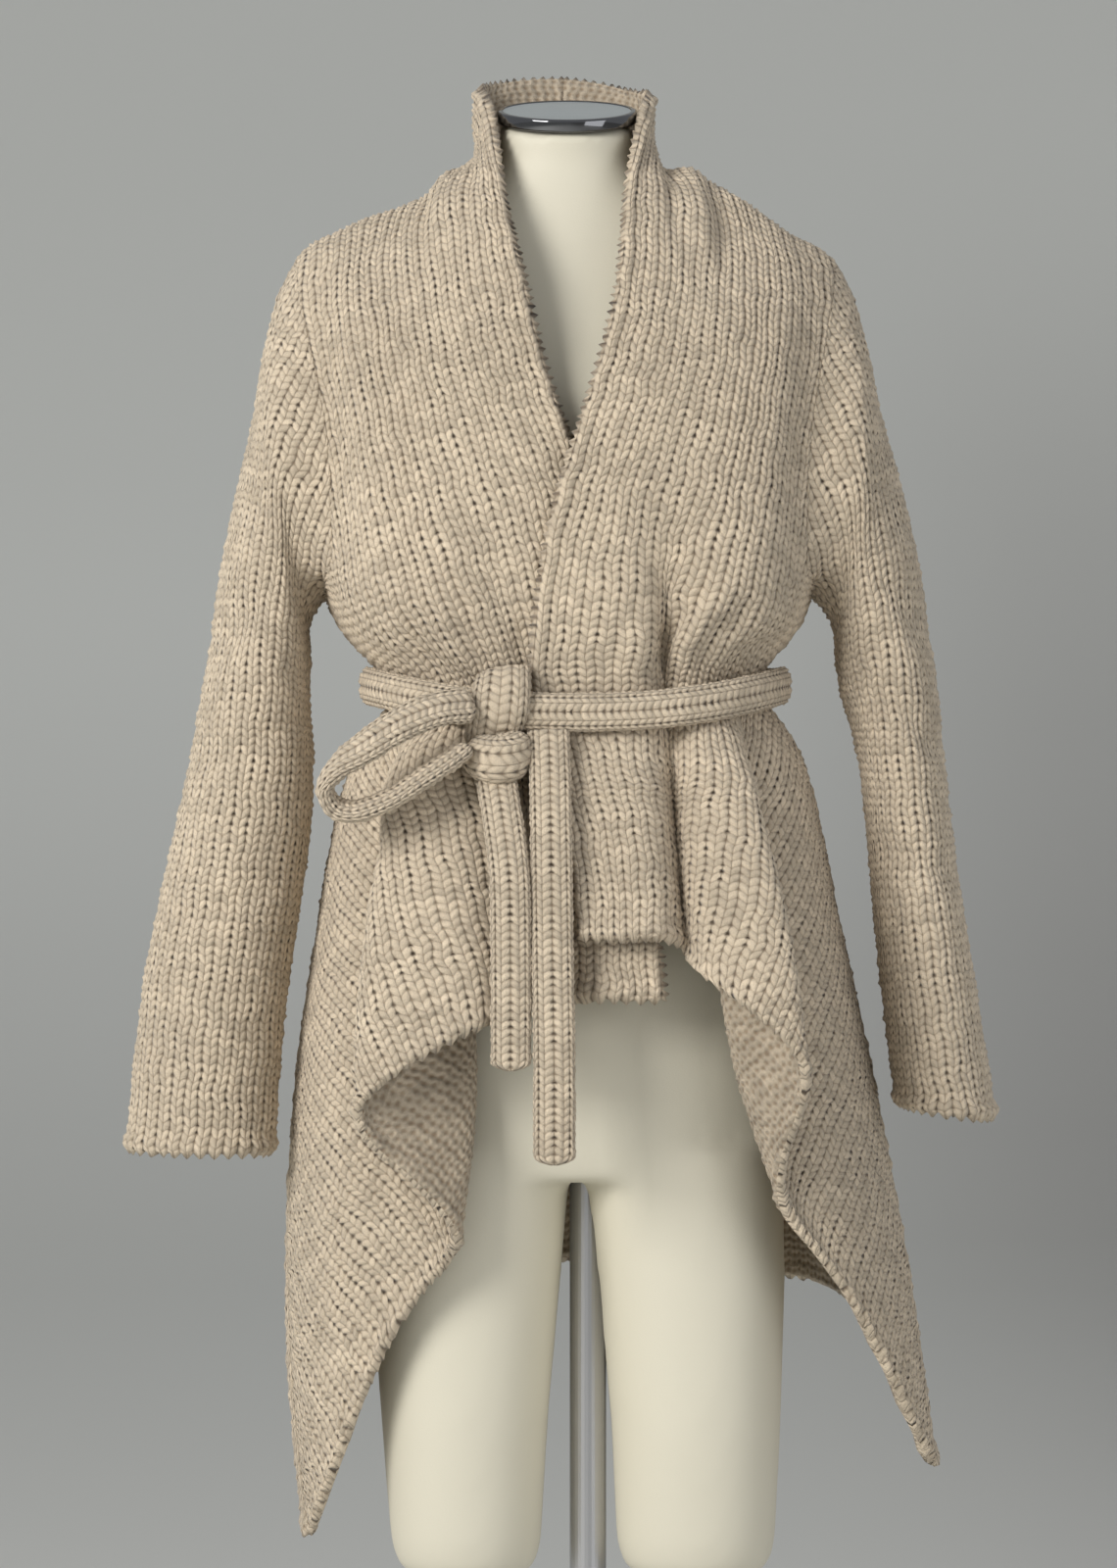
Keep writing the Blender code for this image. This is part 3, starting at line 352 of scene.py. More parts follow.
class Cage:
    """Quads between named points. A name that is used twice is one point, which welds the panels."""

    def __init__(self) -> None:
        """Starts an empty cage."""
        self.index: dict = {}
        self.points: list = []
        self.quads: list[CageQuad] = []

    def point(self, key: tuple, position: Optional[tuple] = None) -> int:
        """Finds a named point, which is placed when it is first named.

        Args:
            key: The point's name.
            position: Its place in millimetres, needed the first time.

        Returns:
            The point's number.
        """
        if key not in self.index:
            self.index[key] = len(self.points)
            self.points.append([value * MM for value in position])
        return self.index[key]

    def limit_matrix(self) -> np.ndarray:
        """Works out how the points move to the smooth surface.

        Returns:
            The square matrix of weights.
        """
        count = len(self.points)
        uses: dict = {}
        for quad in self.quads:
            for first, second in zip(quad.corners, quad.corners[1:] + quad.corners[:1]):
                uses[frozenset((first, second))] = uses.get(frozenset((first, second)), 0) + 1
        edge_sums = np.zeros((count, count))
        rim_sums = np.zeros((count, count))
        for edge, number in uses.items():
            first, second = edge
            sums = rim_sums if number == 1 else edge_sums
            sums[first, second] += 1
            sums[second, first] += 1
        face_sums = np.zeros((count, count))
        valence = np.zeros(count)
        for quad in self.quads:
            for corner in range(4):
                face_sums[quad.corners[corner], quad.corners[(corner + 2) % 4]] += 1
                valence[quad.corners[corner]] += 1
        result = np.zeros((count, count))
        for point in range(count):
            faces = valence[point]
            if rim_sums[point].any():
                result[point, point] = 1 if faces == 1 else 4 / 6
                if faces > 1:
                    result[point] += rim_sums[point] / 6
            else:
                result[point] = (4 * edge_sums[point] + face_sums[point]) / (faces * (faces + 5))
                result[point, point] += faces ** 2 / (faces * (faces + 5))
        return result

    def fitted_points(self) -> np.ndarray:
        """Moves the points until the smooth surface passes through the places asked for.

        Returns:
            The moved points.
        """
        target = np.array(self.points)
        smooth = self.limit_matrix()
        points = target.copy()
        for _ in range(FIT_ROUNDS):
            points += target - smooth @ points
        return points


class FlatPattern:
    """Lays a panel flat, so that stitches keep their size wherever the cloth folds."""

    ROUNDS = 900
    OVERSHOOT = 1.6

    def __init__(self) -> None:
        """Starts an empty pattern."""
        self.index: dict = {}
        self.places: list = []
        self.start: list = []
        self.fixed: list = []
        self.links: set = set()

    def node(self, key: tuple, place: np.ndarray, start: tuple, fixed: bool) -> None:
        """Adds a point with its place on the body, its first place on the flat and whether that is final."""
        if key in self.index:
            return
        self.index[key] = len(self.places)
        self.places.append(place)
        self.start.append(start)
        self.fixed.append(fixed)

    def link(self, keys: Iterable[tuple]) -> None:
        """Ties the four corners of a face to each other."""
        numbers = [self.index[key] for key in keys]
        for first in range(4):
            for second in range(first + 1, 4):
                self.links.add(tuple(sorted((numbers[first], numbers[second]))))

    def flatten(self) -> dict:
        """Relaxes the ties to their real lengths.

        Returns:
            The place of each key on the flat, in metres.
        """
        ties = np.array(sorted(self.links))
        places = np.array(self.places)
        lengths = np.linalg.norm(places[ties[:, 0]] - places[ties[:, 1]], axis=1)
        flat = np.array(self.start, dtype=float)
        free = ~np.array(self.fixed)
        counts = np.bincount(ties.ravel(), minlength=len(flat)).astype(float)
        for _ in range(self.ROUNDS):
            gap = flat[ties[:, 1]] - flat[ties[:, 0]]
            size = np.maximum(np.linalg.norm(gap, axis=1), 1e-6)
            pull = gap * ((size - lengths) / size / 2)[:, None]
            move = np.zeros_like(flat)
            np.add.at(move, ties[:, 0], pull)
            np.add.at(move, ties[:, 1], -pull)
            flat[free] += (move / counts[:, None] * self.OVERSHOOT)[free]
        return {key: flat[number] for key, number in self.index.items()}


def skirt_point(hip: tuple, middle: tuple, hem: tuple, step: int) -> tuple:
    """Places a point on the curve through the hip, the middle of the skirt and the hem.

    Args:
        hip: The fold's place at the hip.
        middle: Its place half way down.
        hem: Its place at the hem.
        step: The skirt row, counted from the hip.

    Returns:
        The place in millimetres.
    """
    t = step / SKIRT_STEPS
    weights = (2 * (t - 0.5) * (t - 1), -4 * t * (t - 1), 2 * t * (t - 0.5))
    return tuple(sum(w * p[axis] for w, p in zip(weights, (hip, middle, hem))) for axis in range(3))


@dataclass
class FrontPlan:
    """One front with its half of the collar."""

    side: str
    sections: tuple
    middle: FrontSection
    hem: FrontSection

    @property
    def panel(self) -> str:
        """Names the panel."""
        return f"front_{self.side}"

    def points(self) -> dict:
        """Places every fold line in every row.

        Returns:
            The place of each (fold, row) in millimetres.
        """
        points = {}
        for section in self.sections:
            for fold in FOLDS:
                position = getattr(section, fold)
                if position is not None:
                    points[fold, section.row] = position
        for step, row in enumerate(SKIRT_ROWS, 1):
            for fold in FOLDS:
                middle = getattr(self.middle, fold)
                points[fold, row] = skirt_point(points[fold, "hip"], middle, getattr(self.hem, fold), step)
        return points

    def key(self, fold: str, row: str) -> tuple:
        """Names a point of the cage. The nape is shared by both fronts."""
        return ("nape", fold) if row == "nape" else (self.side, fold, row)

    def add_strip(self, cage: Cage, points: dict, folds: tuple, upper: str, lower: str) -> None:
        """Adds the faces between two rows.

        Args:
            cage: The cage to add to.
            points: The place of each (fold, row).
            folds: The fold lines that the two rows have.
            upper: The upper row.
            lower: The lower row.
        """
        for first, second in zip(folds, folds[1:]):
            keys = ((first, upper), (first, lower), (second, lower), (second, upper))
            corners = tuple(cage.point(self.key(*key), points[key]) for key in keys)
            if self.side == "right":
                corners = corners[::-1]
                keys = keys[::-1]
            across = COLUMN_SAMPLES[first]
            inner = across if first in PURL_FOLDS else across // INNER_STEP
            down = ROW_SAMPLES[upper]
            cage.quads.append(CageQuad(corners, self.panel, keys, across, down, inner, down))

    def add_to(self, cage: Cage) -> None:
        """Adds the whole front: the collar strip, then the body rows under it."""
        points = self.points()
        collar_rows = COLLAR_ROWS + BODICE_ROWS[:1]
        for upper, lower in zip(collar_rows, collar_rows[1:]):
            self.add_strip(cage, points, COLLAR_FOLDS, upper, lower)
        for upper, lower in zip(BODY_ROWS, BODY_ROWS[1:]):
            under_arm = BODY_ROWS.index(lower) > BODY_ROWS.index("armpit")
            folds = FOLDS if under_arm else FOLDS[:FOLDS.index("tuck") + 1]
            self.add_strip(cage, points, folds, upper, lower)

    def flat(self) -> dict:
        """Lays the front flat. Its wales run along its free edge.

        Returns:
            The place of each (fold, row) on the flat.
        """
        places = {key: np.array(value) * MM for key, value in self.points().items()}
        rows = COLLAR_ROWS + BODY_ROWS
        depth = {rows[0]: 0.0}
        for upper, lower in zip(rows, rows[1:]):
            steps = [np.linalg.norm(places[fold, lower] - places[fold, upper]) for fold in COLLAR_FOLDS]
            depth[lower] = depth[upper] + float(np.mean(steps))
        pattern = FlatPattern()
        for row in rows:
            across = 0.0
            before = None
            for fold in FOLDS:
                if (fold, row) not in places:
                    continue
                if before is not None:
                    across += float(np.linalg.norm(places[fold, row] - places[before, row]))
                pattern.node((fold, row), places[fold, row], (across, depth[row]), fold == FOLDS[0])
                before = fold
        for upper, lower in zip(rows, rows[1:]):
            for first, second in zip(FOLDS, FOLDS[1:]):
                keys = ((first, upper), (first, lower), (second, lower), (second, upper))
                has_face = upper not in COLLAR_ROWS or second in COLLAR_FOLDS
                if has_face and all(key in places for key in keys):
                    pattern.link(keys)
        return pattern.flatten()


@dataclass
class BackPlan:
    """The back, from side seam to side seam, as two halves of the cage."""

    fronts: tuple
    panel: str = "back_panel"

    def outline(self, section: BackSection, fold: str, side: str) -> tuple:
        """Places one point of a row from its half width and depth.

        Args:
            section: The row.
            fold: The column.
            side: The wearer's side.

        Returns:
            The place in millimetres.
        """
        half = section.half_right if side == "right" else section.half_left
        shares = BACK_ARMHOLE_SHARE if section.row in ARMHOLE_ROWS[:-1] else BACK_WIDTH_SHARE
        share = shares[fold]
        curve = max(0.0, 1 - share ** BACK_ROUNDNESS) ** (1 / BACK_ROUNDNESS)
        depth = section.side_depth + (section.depth - section.side_depth) * curve
        height = section.centre_z + (section.side_z - section.centre_z) * share ** 3
        return (half * share * (-1 if side == "right" else 1), depth, height)

    def hem(self, fold: str, side: str, seam: tuple) -> tuple:
        """Places one point of the hem, which drops to the side seam.

        Args:
            fold: The column.
            side: The wearer's side.
            seam: The hem's place at the side seam.

        Returns:
            The place in millimetres.
        """
        heights = BACK_HEM_RIGHT_Z if side == "right" else BACK_HEM_LEFT_Z
        share = BACK_WIDTH_SHARE[fold]
        curve = max(0.0, 1 - share ** BACK_ROUNDNESS) ** (1 / BACK_ROUNDNESS)
        depth = seam[1] + (BACK_HEM_DEPTH - seam[1]) * curve
        return (seam[0] * share, depth + BACK_RIPPLE[fold] * BACK_RIPPLE_HEM, heights[fold])

    def points(self, side: str, front: dict) -> dict:
        """Places half of the back. The side seam takes the front's points.

        Args:
            side: The wearer's side.
            front: The front's points.

        Returns:
            The place of each (fold, row) in millimetres.
        """
        points = {}
        seam = front["side", SKIRT_ROWS[-1]]
        for fold in BACK_FOLDS + ("centre",):
            for section in BACK_SECTIONS:
                if section.row not in ARMHOLE_ROWS[:-1] or fold in BACK_ARMHOLE_SHARE:
                    points[fold, section.row] = self.outline(section, fold, side)
            middle = self.outline(BACK_MIDDLE, fold, side)
            middle = (middle[0], middle[1] + BACK_RIPPLE[fold] * BACK_RIPPLE_HEM / 2, middle[2])
            for step, row in enumerate(SKIRT_ROWS, 1):
                points[fold, row] = skirt_point(points[fold, "hip"], middle, self.hem(fold, side, seam), step)
        for row in BODY_ROWS[BODY_ROWS.index("armpit"):]:
            points["side", row] = front["side", row]
        return points

    @staticmethod
    def key(side: str, fold: str, row: str) -> tuple:
        """Names a point, welded to the fronts along the shoulders, the neck, the sides and the nape.

        Args:
            side: The wearer's side.
            fold: The column.
            row: The row.

        Returns:
            The point's name in the cage.
        """
        if row == "shoulder":
            if fold == "centre":
                return ("nape", "valley")
            return (side, "valley", "collar_side") if fold == "collar_side" else (side, fold, "shoulder")
        if fold == "side":
            return (side, "side", row)
        return ("back", "centre", row) if fold == "centre" else ("back", side, fold, row)

    def add_to(self, cage: Cage) -> None:
        """Adds both halves, each from its side seam to the centre."""
        for front in self.fronts:
            side = front.side
            points = self.points(side, front.points())
            for upper, lower in zip(BODY_ROWS, BODY_ROWS[1:]):
                under_arm = BODY_ROWS.index(lower) > BODY_ROWS.index("armpit")
                folds = (BACK_FOLDS if under_arm else BACK_FOLDS[2:]) + ("centre",)
                for first, second in zip(folds, folds[1:]):
                    places = ((first, upper), (first, lower), (second, lower), (second, upper))
                    corners = tuple(cage.point(self.key(side, *key), points.get(key)) for key in places)
                    keys = tuple(self.pattern_key(side, *key) for key in places)
                    if side == "right":
                        corners = corners[::-1]
                        keys = keys[::-1]
                    across = BACK_COLUMN_SAMPLES[first]
                    inner = across // INNER_STEP
                    down = ROW_SAMPLES[upper]
                    cage.quads.append(CageQuad(corners, self.panel, keys, across, down, inner, down))

    @staticmethod
    def pattern_key(side: str, fold: str, row: str) -> tuple:
        """Names a point of the flat back, whose centre is shared by both halves."""
        return ("centre", row) if fold == "centre" else (side, fold, row)

    def flat(self, cage: Cage) -> dict:
        """Lays the back flat from its centre outwards.

        Args:
            cage: The cage, which holds the welded points.

        Returns:
            The place of each pattern key on the flat.
        """
        def place(side: str, fold: str, row: str) -> np.ndarray:
            """Finds the welded point of a back point."""
            return np.array(cage.points[cage.index[self.key(side, fold, row)]])

        depth = {BODY_ROWS[0]: 0.0}
        for upper, lower in zip(BODY_ROWS, BODY_ROWS[1:]):
            step = np.linalg.norm(place("left", "centre", lower) - place("left", "centre", upper))
            depth[lower] = depth[upper] + float(step)
        pattern = FlatPattern()
        for side, sign in (("left", 1), ("right", -1)):
            for row in BODY_ROWS:
                under_arm = BODY_ROWS.index(row) >= BODY_ROWS.index("armpit")
                folds = (BACK_FOLDS if under_arm else BACK_FOLDS[2:]) + ("centre",)
                across = 0.0
                before = place(side, "centre", row)
                for fold in reversed(folds):
                    here = place(side, fold, row)
                    across += float(np.linalg.norm(here - before))
                    start = (sign * across, depth[row])
                    pattern.node(self.pattern_key(side, fold, row), here, start, fold == "centre")
                    before = here
        for quad in cage.quads:
            if quad.panel == self.panel:
                pattern.link(quad.keys)
        return pattern.flatten()


@dataclass
class SleevePlan:
    """A sleeve: rings from the armhole to the cuff."""

    side: str
    rings: tuple

    @property
    def panel(self) -> str:
        """Names the panel."""
        return f"sleeve_{self.side}"

    def armhole(self) -> list:
        """Names the armhole's points from the shoulder down the front, under the arm and up the back."""
        side = self.side
        front = [(side, "tuck", row) for row in ARMHOLE_ROWS]
        under = [(side, "flank", "armpit"), (side, "side", "armpit"), ("back", side, "flank", "armpit")]
        back = [("back", side, "tuck", row) for row in reversed(ARMHOLE_ROWS[1:])]
        return front + under + back

    @staticmethod
    def ring_points(ring: SleeveRing, count: int) -> list:
        """Places the points of a ring, from its outer point forward and round.

        Args:
            ring: The ring.
            count: How many points it has.

        Returns:
            The places in millimetres.
        """
        middle = ((ring.outer_x + ring.inner_x) / 2, (ring.outer_z + ring.inner_z) / 2)
        reach = ((ring.outer_x - ring.inner_x) / 2, (ring.outer_z - ring.inner_z) / 2)
        points = []
        for number in range(count):
            angle = 2 * math.pi * number / count
            along = math.cos(angle)
            points.append((middle[0] + reach[0] * along, ring.middle_y - ring.half_depth * math.sin(angle),
                           middle[1] + reach[1] * along))
        return points

    def add_to(self, cage: Cage) -> None:
        """Adds the rings of faces. The seam under the arm is cut on the flat."""
        start = [cage.index[key] for key in self.armhole()]
        count = len(start)
        half = count // 2
        for number, ring in enumerate(self.rings):
            row = [cage.point((self.panel, number, spoke), position)
                   for spoke, position in enumerate(self.ring_points(ring, count))]
            for spoke in range(count):
                after = (spoke + 1) % count
                corners = (start[spoke], start[after], row[after], row[spoke])
                copy = "front" if spoke < half else "behind"
                names = [(turn, copy if turn == half else "") for turn in (spoke, after)]
                lower = number + 1
                keys = ((number, *names[0]), (number, *names[1]), (lower, *names[1]), (lower, *names[0]))
                if self.side == "right":
                    corners = corners[::-1]
                    keys = keys[::-1]
                down = SLEEVE_DOWN_SAMPLES[number]
                around = SLEEVE_AROUND_SAMPLES
                inner = around // INNER_STEP
                cage.quads.append(CageQuad(corners, self.panel, keys, down, around, down, inner))
            start = row

    def flat(self, cage: Cage) -> dict:
        """Lays the sleeve flat on both sides of its outer line.

        Args:
            cage: The cage, which holds the welded points.

        Returns:
            The place of each pattern key on the flat.
        """
        count = len(self.armhole())
        half = count // 2
        rows = [[np.array(cage.points[cage.index[key]]) for key in self.armhole()]]
        rows += [[np.array(cage.points[cage.index[self.panel, number, spoke]]) for spoke in range(count)]
                 for number in range(len(self.rings))]
        pattern = FlatPattern()
        depth = 0.0
        for number, row in enumerate(rows):
            if number:
                depth += float(np.linalg.norm(row[0] - rows[number - 1][0]))
            for sign, copy in ((1, "front"), (-1, "behind")):
                across = 0.0
                for step in range(half + 1):
                    spoke = (sign * step) % count
                    if step:
                        across += float(np.linalg.norm(row[spoke] - row[(spoke - sign) % count]))
                    key = (number, spoke, copy if spoke == half else "")
                    pattern.node(key, row[spoke], (sign * across, depth), step == 0)
        for quad in cage.quads:
            if quad.panel == self.panel:
                pattern.link(quad.keys)
        return pattern.flatten()


class SmoothBody:
    """The smooth surface of the cage: places, normals and stitch coordinates in a grid for each face."""

    def __init__(self, cage: Cage, stitches: list) -> None:
        """Smooths the cage.

        Args:
            cage: The cage.
            stitches: The stitch coordinates of each face's corners.
        """
        mesh = bpy.data.meshes.new("cage")
        points = [tuple(point) for point in cage.fitted_points()]
        mesh.from_pydata(points, [], [quad.corners for quad in cage.quads])
        patch_map = mesh.uv_layers.new(name="patch")
        stitch_map = mesh.uv_layers.new(name="stitch")
        patch_map.uv.foreach_set("vector", np.tile((0, 0, 0, 1, 1, 1, 1, 0), len(cage.quads)).astype(float))
        stitch_map.uv.foreach_set("vector", np.array(stitches, dtype=float).ravel())
        number = mesh.attributes.new("face_number", "INT", "FACE")
        number.data.foreach_set("value", range(len(cage.quads)))
        guide = bpy.data.objects.new("cage", mesh)
        bpy.context.scene.collection.objects.link(guide)
        smoothing = guide.modifiers.new("Subdivision", "SUBSURF")
        smoothing.levels = SURFACE_LEVELS
        smoothing.render_levels = SURFACE_LEVELS
        smoothing.boundary_smooth = "PRESERVE_CORNERS"
        smoothing.uv_smooth = "NONE"
        fine = self.evaluated(guide)
        corners = len(fine.loops)
        vertices = np.empty(corners, dtype=int)
        fine.loops.foreach_get("vertex_index", vertices)
        local = np.empty(corners * 2)
        fine.uv_layers["patch"].uv.foreach_get("vector", local)
        local = np.rint(local.reshape(-1, 2) * GRID).astype(int)
        faces = np.empty(len(fine.polygons), dtype=int)
        fine.attributes["face_number"].data.foreach_get("value", faces)
        owner = np.repeat(faces, 4)
        places = np.empty(len(fine.vertices) * 3)
        fine.vertices.foreach_get("co", places)
        normals = np.empty(len(fine.vertices) * 3)
        fine.vertices.foreach_get("normal", normals)
        smoothing.uv_smooth = "PRESERVE_BOUNDARIES"
        fine = self.evaluated(guide)
        knit = np.empty(corners * 2)
        fine.uv_layers["stitch"].uv.foreach_get("vector", knit)
        shape = (len(cage.quads), GRID + 1, GRID + 1)
        self.places = np.zeros(shape + (3,))
        self.normals = np.zeros(shape + (3,))
        self.stitches = np.zeros(shape + (2,))
        self.places[owner, local[:, 0], local[:, 1]] = places.reshape(-1, 3)[vertices]
        self.normals[owner, local[:, 0], local[:, 1]] = normals.reshape(-1, 3)[vertices]
        self.stitches[owner, local[:, 0], local[:, 1]] = knit.reshape(-1, 2)
        bpy.data.objects.remove(guide, do_unlink=True)

    @staticmethod
    def evaluated(obj: bpy.types.Object) -> bpy.types.Mesh:
        """Copies an object's mesh with its modifiers applied."""
        bpy.context.view_layer.update()
        depsgraph = bpy.context.evaluated_depsgraph_get()
        return bpy.data.meshes.new_from_object(obj.evaluated_get(depsgraph), preserve_all_data_layers=True,
                                               depsgraph=depsgraph)

    @staticmethod
    def sample(grid: np.ndarray, across: np.ndarray, down: np.ndarray) -> np.ndarray:
        """Reads a face's grid between its points.

        Args:
            grid: The values of one face.
            across: Where to read it, from 0 to 1, from its first to its last corner.
            down: Where to read it, from 0 to 1, from its first to its second corner.

        Returns:
            One value for each place.
        """
        first = np.clip(across * GRID, 0, GRID)
        second = np.clip(down * GRID, 0, GRID)
        row = np.minimum(first.astype(int), GRID - 1)
        column = np.minimum(second.astype(int), GRID - 1)
        row_share = (first - row)[:, None]
        column_share = (second - column)[:, None]
        upper = grid[row, column] * (1 - column_share) + grid[row, column + 1] * column_share
        lower = grid[row + 1, column] * (1 - column_share) + grid[row + 1, column + 1] * column_share
        return upper * (1 - row_share) + lower * row_share


# Factors that turn a cell's column, row and seed into a number without order.
COLUMN_MIX = 127.1
ROW_MIX = 311.7
SEED_MIX = 74.7
MIX_SIZE = 43758.5453


@dataclass(frozen=True)
class KnitRelief:
    """Height of the stitches over the cloth's surface, from stitch coordinates."""

    wale_height: float = 1.15 * MM
    leg_height: float = 1.3 * MM
    slope: float = 1.05
    uneven: float = 0.6
    slub_wales: float = 1.7
    sway: float = 0.15
    row_sway: float = 1.6
    purl_wave: float = 0.13
    purl_base: float = 0.62
    purl_lobe: float = 0.38
    flank_share: float = 0.35
    crown_share: float = 0.65

    @staticmethod
    def slubs(wales: np.ndarray, courses: np.ndarray, seed: float) -> np.ndarray:
        """Makes the yarn thick and thin along its rows, from -1 to 1.

        Args:
            wales: The place along a row.
            courses: The row.
            seed: Picks one of many patterns.

        Returns:
            The yarn's unevenness at each place.
        """
        def chance(column: np.ndarray, row: np.ndarray) -> np.ndarray:
            """Gives each cell its own number from -1 to 1."""
            mixed = np.sin(column * COLUMN_MIX + row * ROW_MIX + seed * SEED_MIX) * MIX_SIZE
            return 2 * (mixed - np.floor(mixed)) - 1

        column = np.floor(wales)
        row = np.floor(courses)
        along = wales - column
        along = along * along * (3 - 2 * along)
        down = courses - row
        down = down * down * (3 - 2 * down)
        upper = chance(column, row) * (1 - along) + chance(column + 1, row) * along
        lower = chance(column, row + 1) * (1 - along) + chance(column + 1, row + 1) * along
        return upper * (1 - down) + lower * down

    def hand_knit(self, stitches: np.ndarray) -> np.ndarray:
        """Sways the stitches a little, as hand knitting does.

        Args:
            stitches: The even stitch coordinates, across and down.

        Returns:
            The uneven ones.
        """
        wales, courses = stitches[:, 0], stitches[:, 1]
        shift = wales + self.sway * self.slubs(wales / 2, courses / 2, 1.0)
        row = courses + self.sway * self.row_sway * self.slubs(wales / 2, courses / 3, 2.0)
        return np.stack((shift, row), axis=1)

    def height(self, stitches: np.ndarray, face: Face) -> np.ndarray:
        """Works out the relief.

        Args:
            stitches: The stitch coordinates, across and down.
            face: The side of the knitting.

        Returns:
            The height at each place, in metres.
        """
        wales, courses = stitches[:, 0], stitches[:, 1]
        grow = 1 + self.uneven * self.slubs(wales / self.slub_wales, courses, 0.0)
        if face is Face.PURL:
            bump = np.cos(2 * math.pi * (courses + self.purl_wave * np.sin(2 * math.pi * wales)))
            lobe = self.purl_base + self.purl_lobe * np.cos(4 * math.pi * wales)
            return grow * lobe * (0.5 + 0.5 * bump) * self.wale_height - 0.5 * self.wale_height
        off = np.abs((wales % 1.0) - 0.5)
        crown = 0.5 - 0.5 * np.cos(4 * math.pi * off)
        body = self.flank_share * (1 - 2 * off) + self.crown_share * crown
        leg = 0.5 - 0.5 * np.cos(2 * math.pi * (courses + self.slope * off))
        return grow * body * (self.wale_height + leg * self.leg_height) - 0.6 * self.wale_height


class Crease(NamedTuple):
    """A soft trough or ridge on a panel, in millimetres seen from one side, up to a depth in Y."""

    panel: str
    start: tuple
    end: tuple
    width: float
    height: float
    front: bool = True
    until_y: float = 0.0


CREASES = (
    Crease("front_right", (-66, 1500), (-72, 1412), 5, -4, until_y=45),
    Crease("front_right", (-82, 1482), (-96, 1396), 8, 4.5, until_y=30),
    Crease("front_right", (-101, 1446), (-101, 1380), 6, -3.5, until_y=15),
    Crease("front_left", (62, 1498), (78, 1408), 5, -4, until_y=45),
    Crease("front_left", (80, 1480), (99, 1392), 8, 4.5, until_y=30),
    Crease("front_left", (102, 1446), (110, 1380), 6, -3, until_y=15),
    Crease("front_left", (60, 1108), (96, 1175), 9, -5),
    Crease("front_left", (84, 1106), (126, 1160), 8, -4),
    Crease("front_left", (30, 1106), (44, 1160), 8, -3.5),
    Crease("front_left", (70, 1112), (112, 1172), 7, 3.5),
    Crease("front_left", (110, 1104), (146, 1140), 8, -4),
    Crease("front_right", (-52, 1108), (-78, 1168), 8, -4),
    Crease("front_right", (-84, 1106), (-120, 1152), 8, -4),
    Crease("front_right", (-66, 1110), (-98, 1166), 7, 3),
    Crease("front_right", (-26, 1108), (-36, 1150), 7, -3),
    Crease("sleeve_left", (214, 1180), (262, 1120), 11, -4.5),
    Crease("sleeve_left", (222, 1090), (268, 1046), 10, -3.5),
    Crease("sleeve_left", (228, 985), (276, 960), 10, -3),
    Crease("sleeve_right", (-206, 1178), (-248, 1112), 11, -4.5),
    Crease("sleeve_right", (-200, 1070), (-262, 1040), 10, -3.5),
    Crease("sleeve_right", (-210, 965), (-270, 930), 10, -3),
    Crease("back_panel", (-60, 1115), (-84, 1190), 11, -4.5, False),
    Crease("back_panel", (58, 1115), (90, 1184), 11, -4.5, False),
    Crease("back_panel", (-14, 1114), (-20, 1180), 10, -3.5, False),
    Crease("back_panel", (110, 1112), (150, 1150), 10, -4, False),
    Crease("back_panel", (-106, 1112), (-146, 1152), 10, -4, False),
)

# How a crease ends in Y and along its run, and how it wanders from its straight line.
CREASE_END = 15 * MM
CREASE_MIDDLE = 0.45
CREASE_REACH = 0.55
CREASE_LIMIT = 9
CREASE_FADE = 1.2
CREASE_WANDER = 2.2 * MM
CREASE_WAVES = 5.1


def crease_height(panel: str, places: np.ndarray) -> np.ndarray:
    """Adds up the creases of a panel.

    Args:
        panel: The panel's name.
        places: The places on its surface, in metres.

    Returns:
        The height at each place, in metres.
    """
    total = np.zeros(len(places))
    for crease in CREASES:
        if crease.panel != panel:
            continue
        start = np.array(crease.start) * MM
        run = np.array(crease.end) * MM - start
        flat = places[:, (0, 2)] - start
        along = (flat @ run) / (run @ run)
        across = (flat[:, 0] * run[1] - flat[:, 1] * run[0]) / np.linalg.norm(run)
        from_middle = np.clip(np.abs(along - CREASE_MIDDLE) / CREASE_REACH, 0, CREASE_LIMIT)
        fade = np.exp(-from_middle ** 3 * CREASE_FADE)
        wander = across + CREASE_WANDER * np.sin(along * CREASE_WAVES)
        facing = np.clip((crease.until_y * MM - places[:, 1]) / CREASE_END, 0, 1)
        facing = facing if crease.front else 1 - facing
        total += facing * fade * np.exp(-(wander / (crease.width * MM)) ** 2) * crease.height * MM
    return total


class Side(NamedTuple):
    """A side of a face's samples that ends its panel, and how far its rim bulges out."""

    outer: list
    inner: list
    outward: np.ndarray


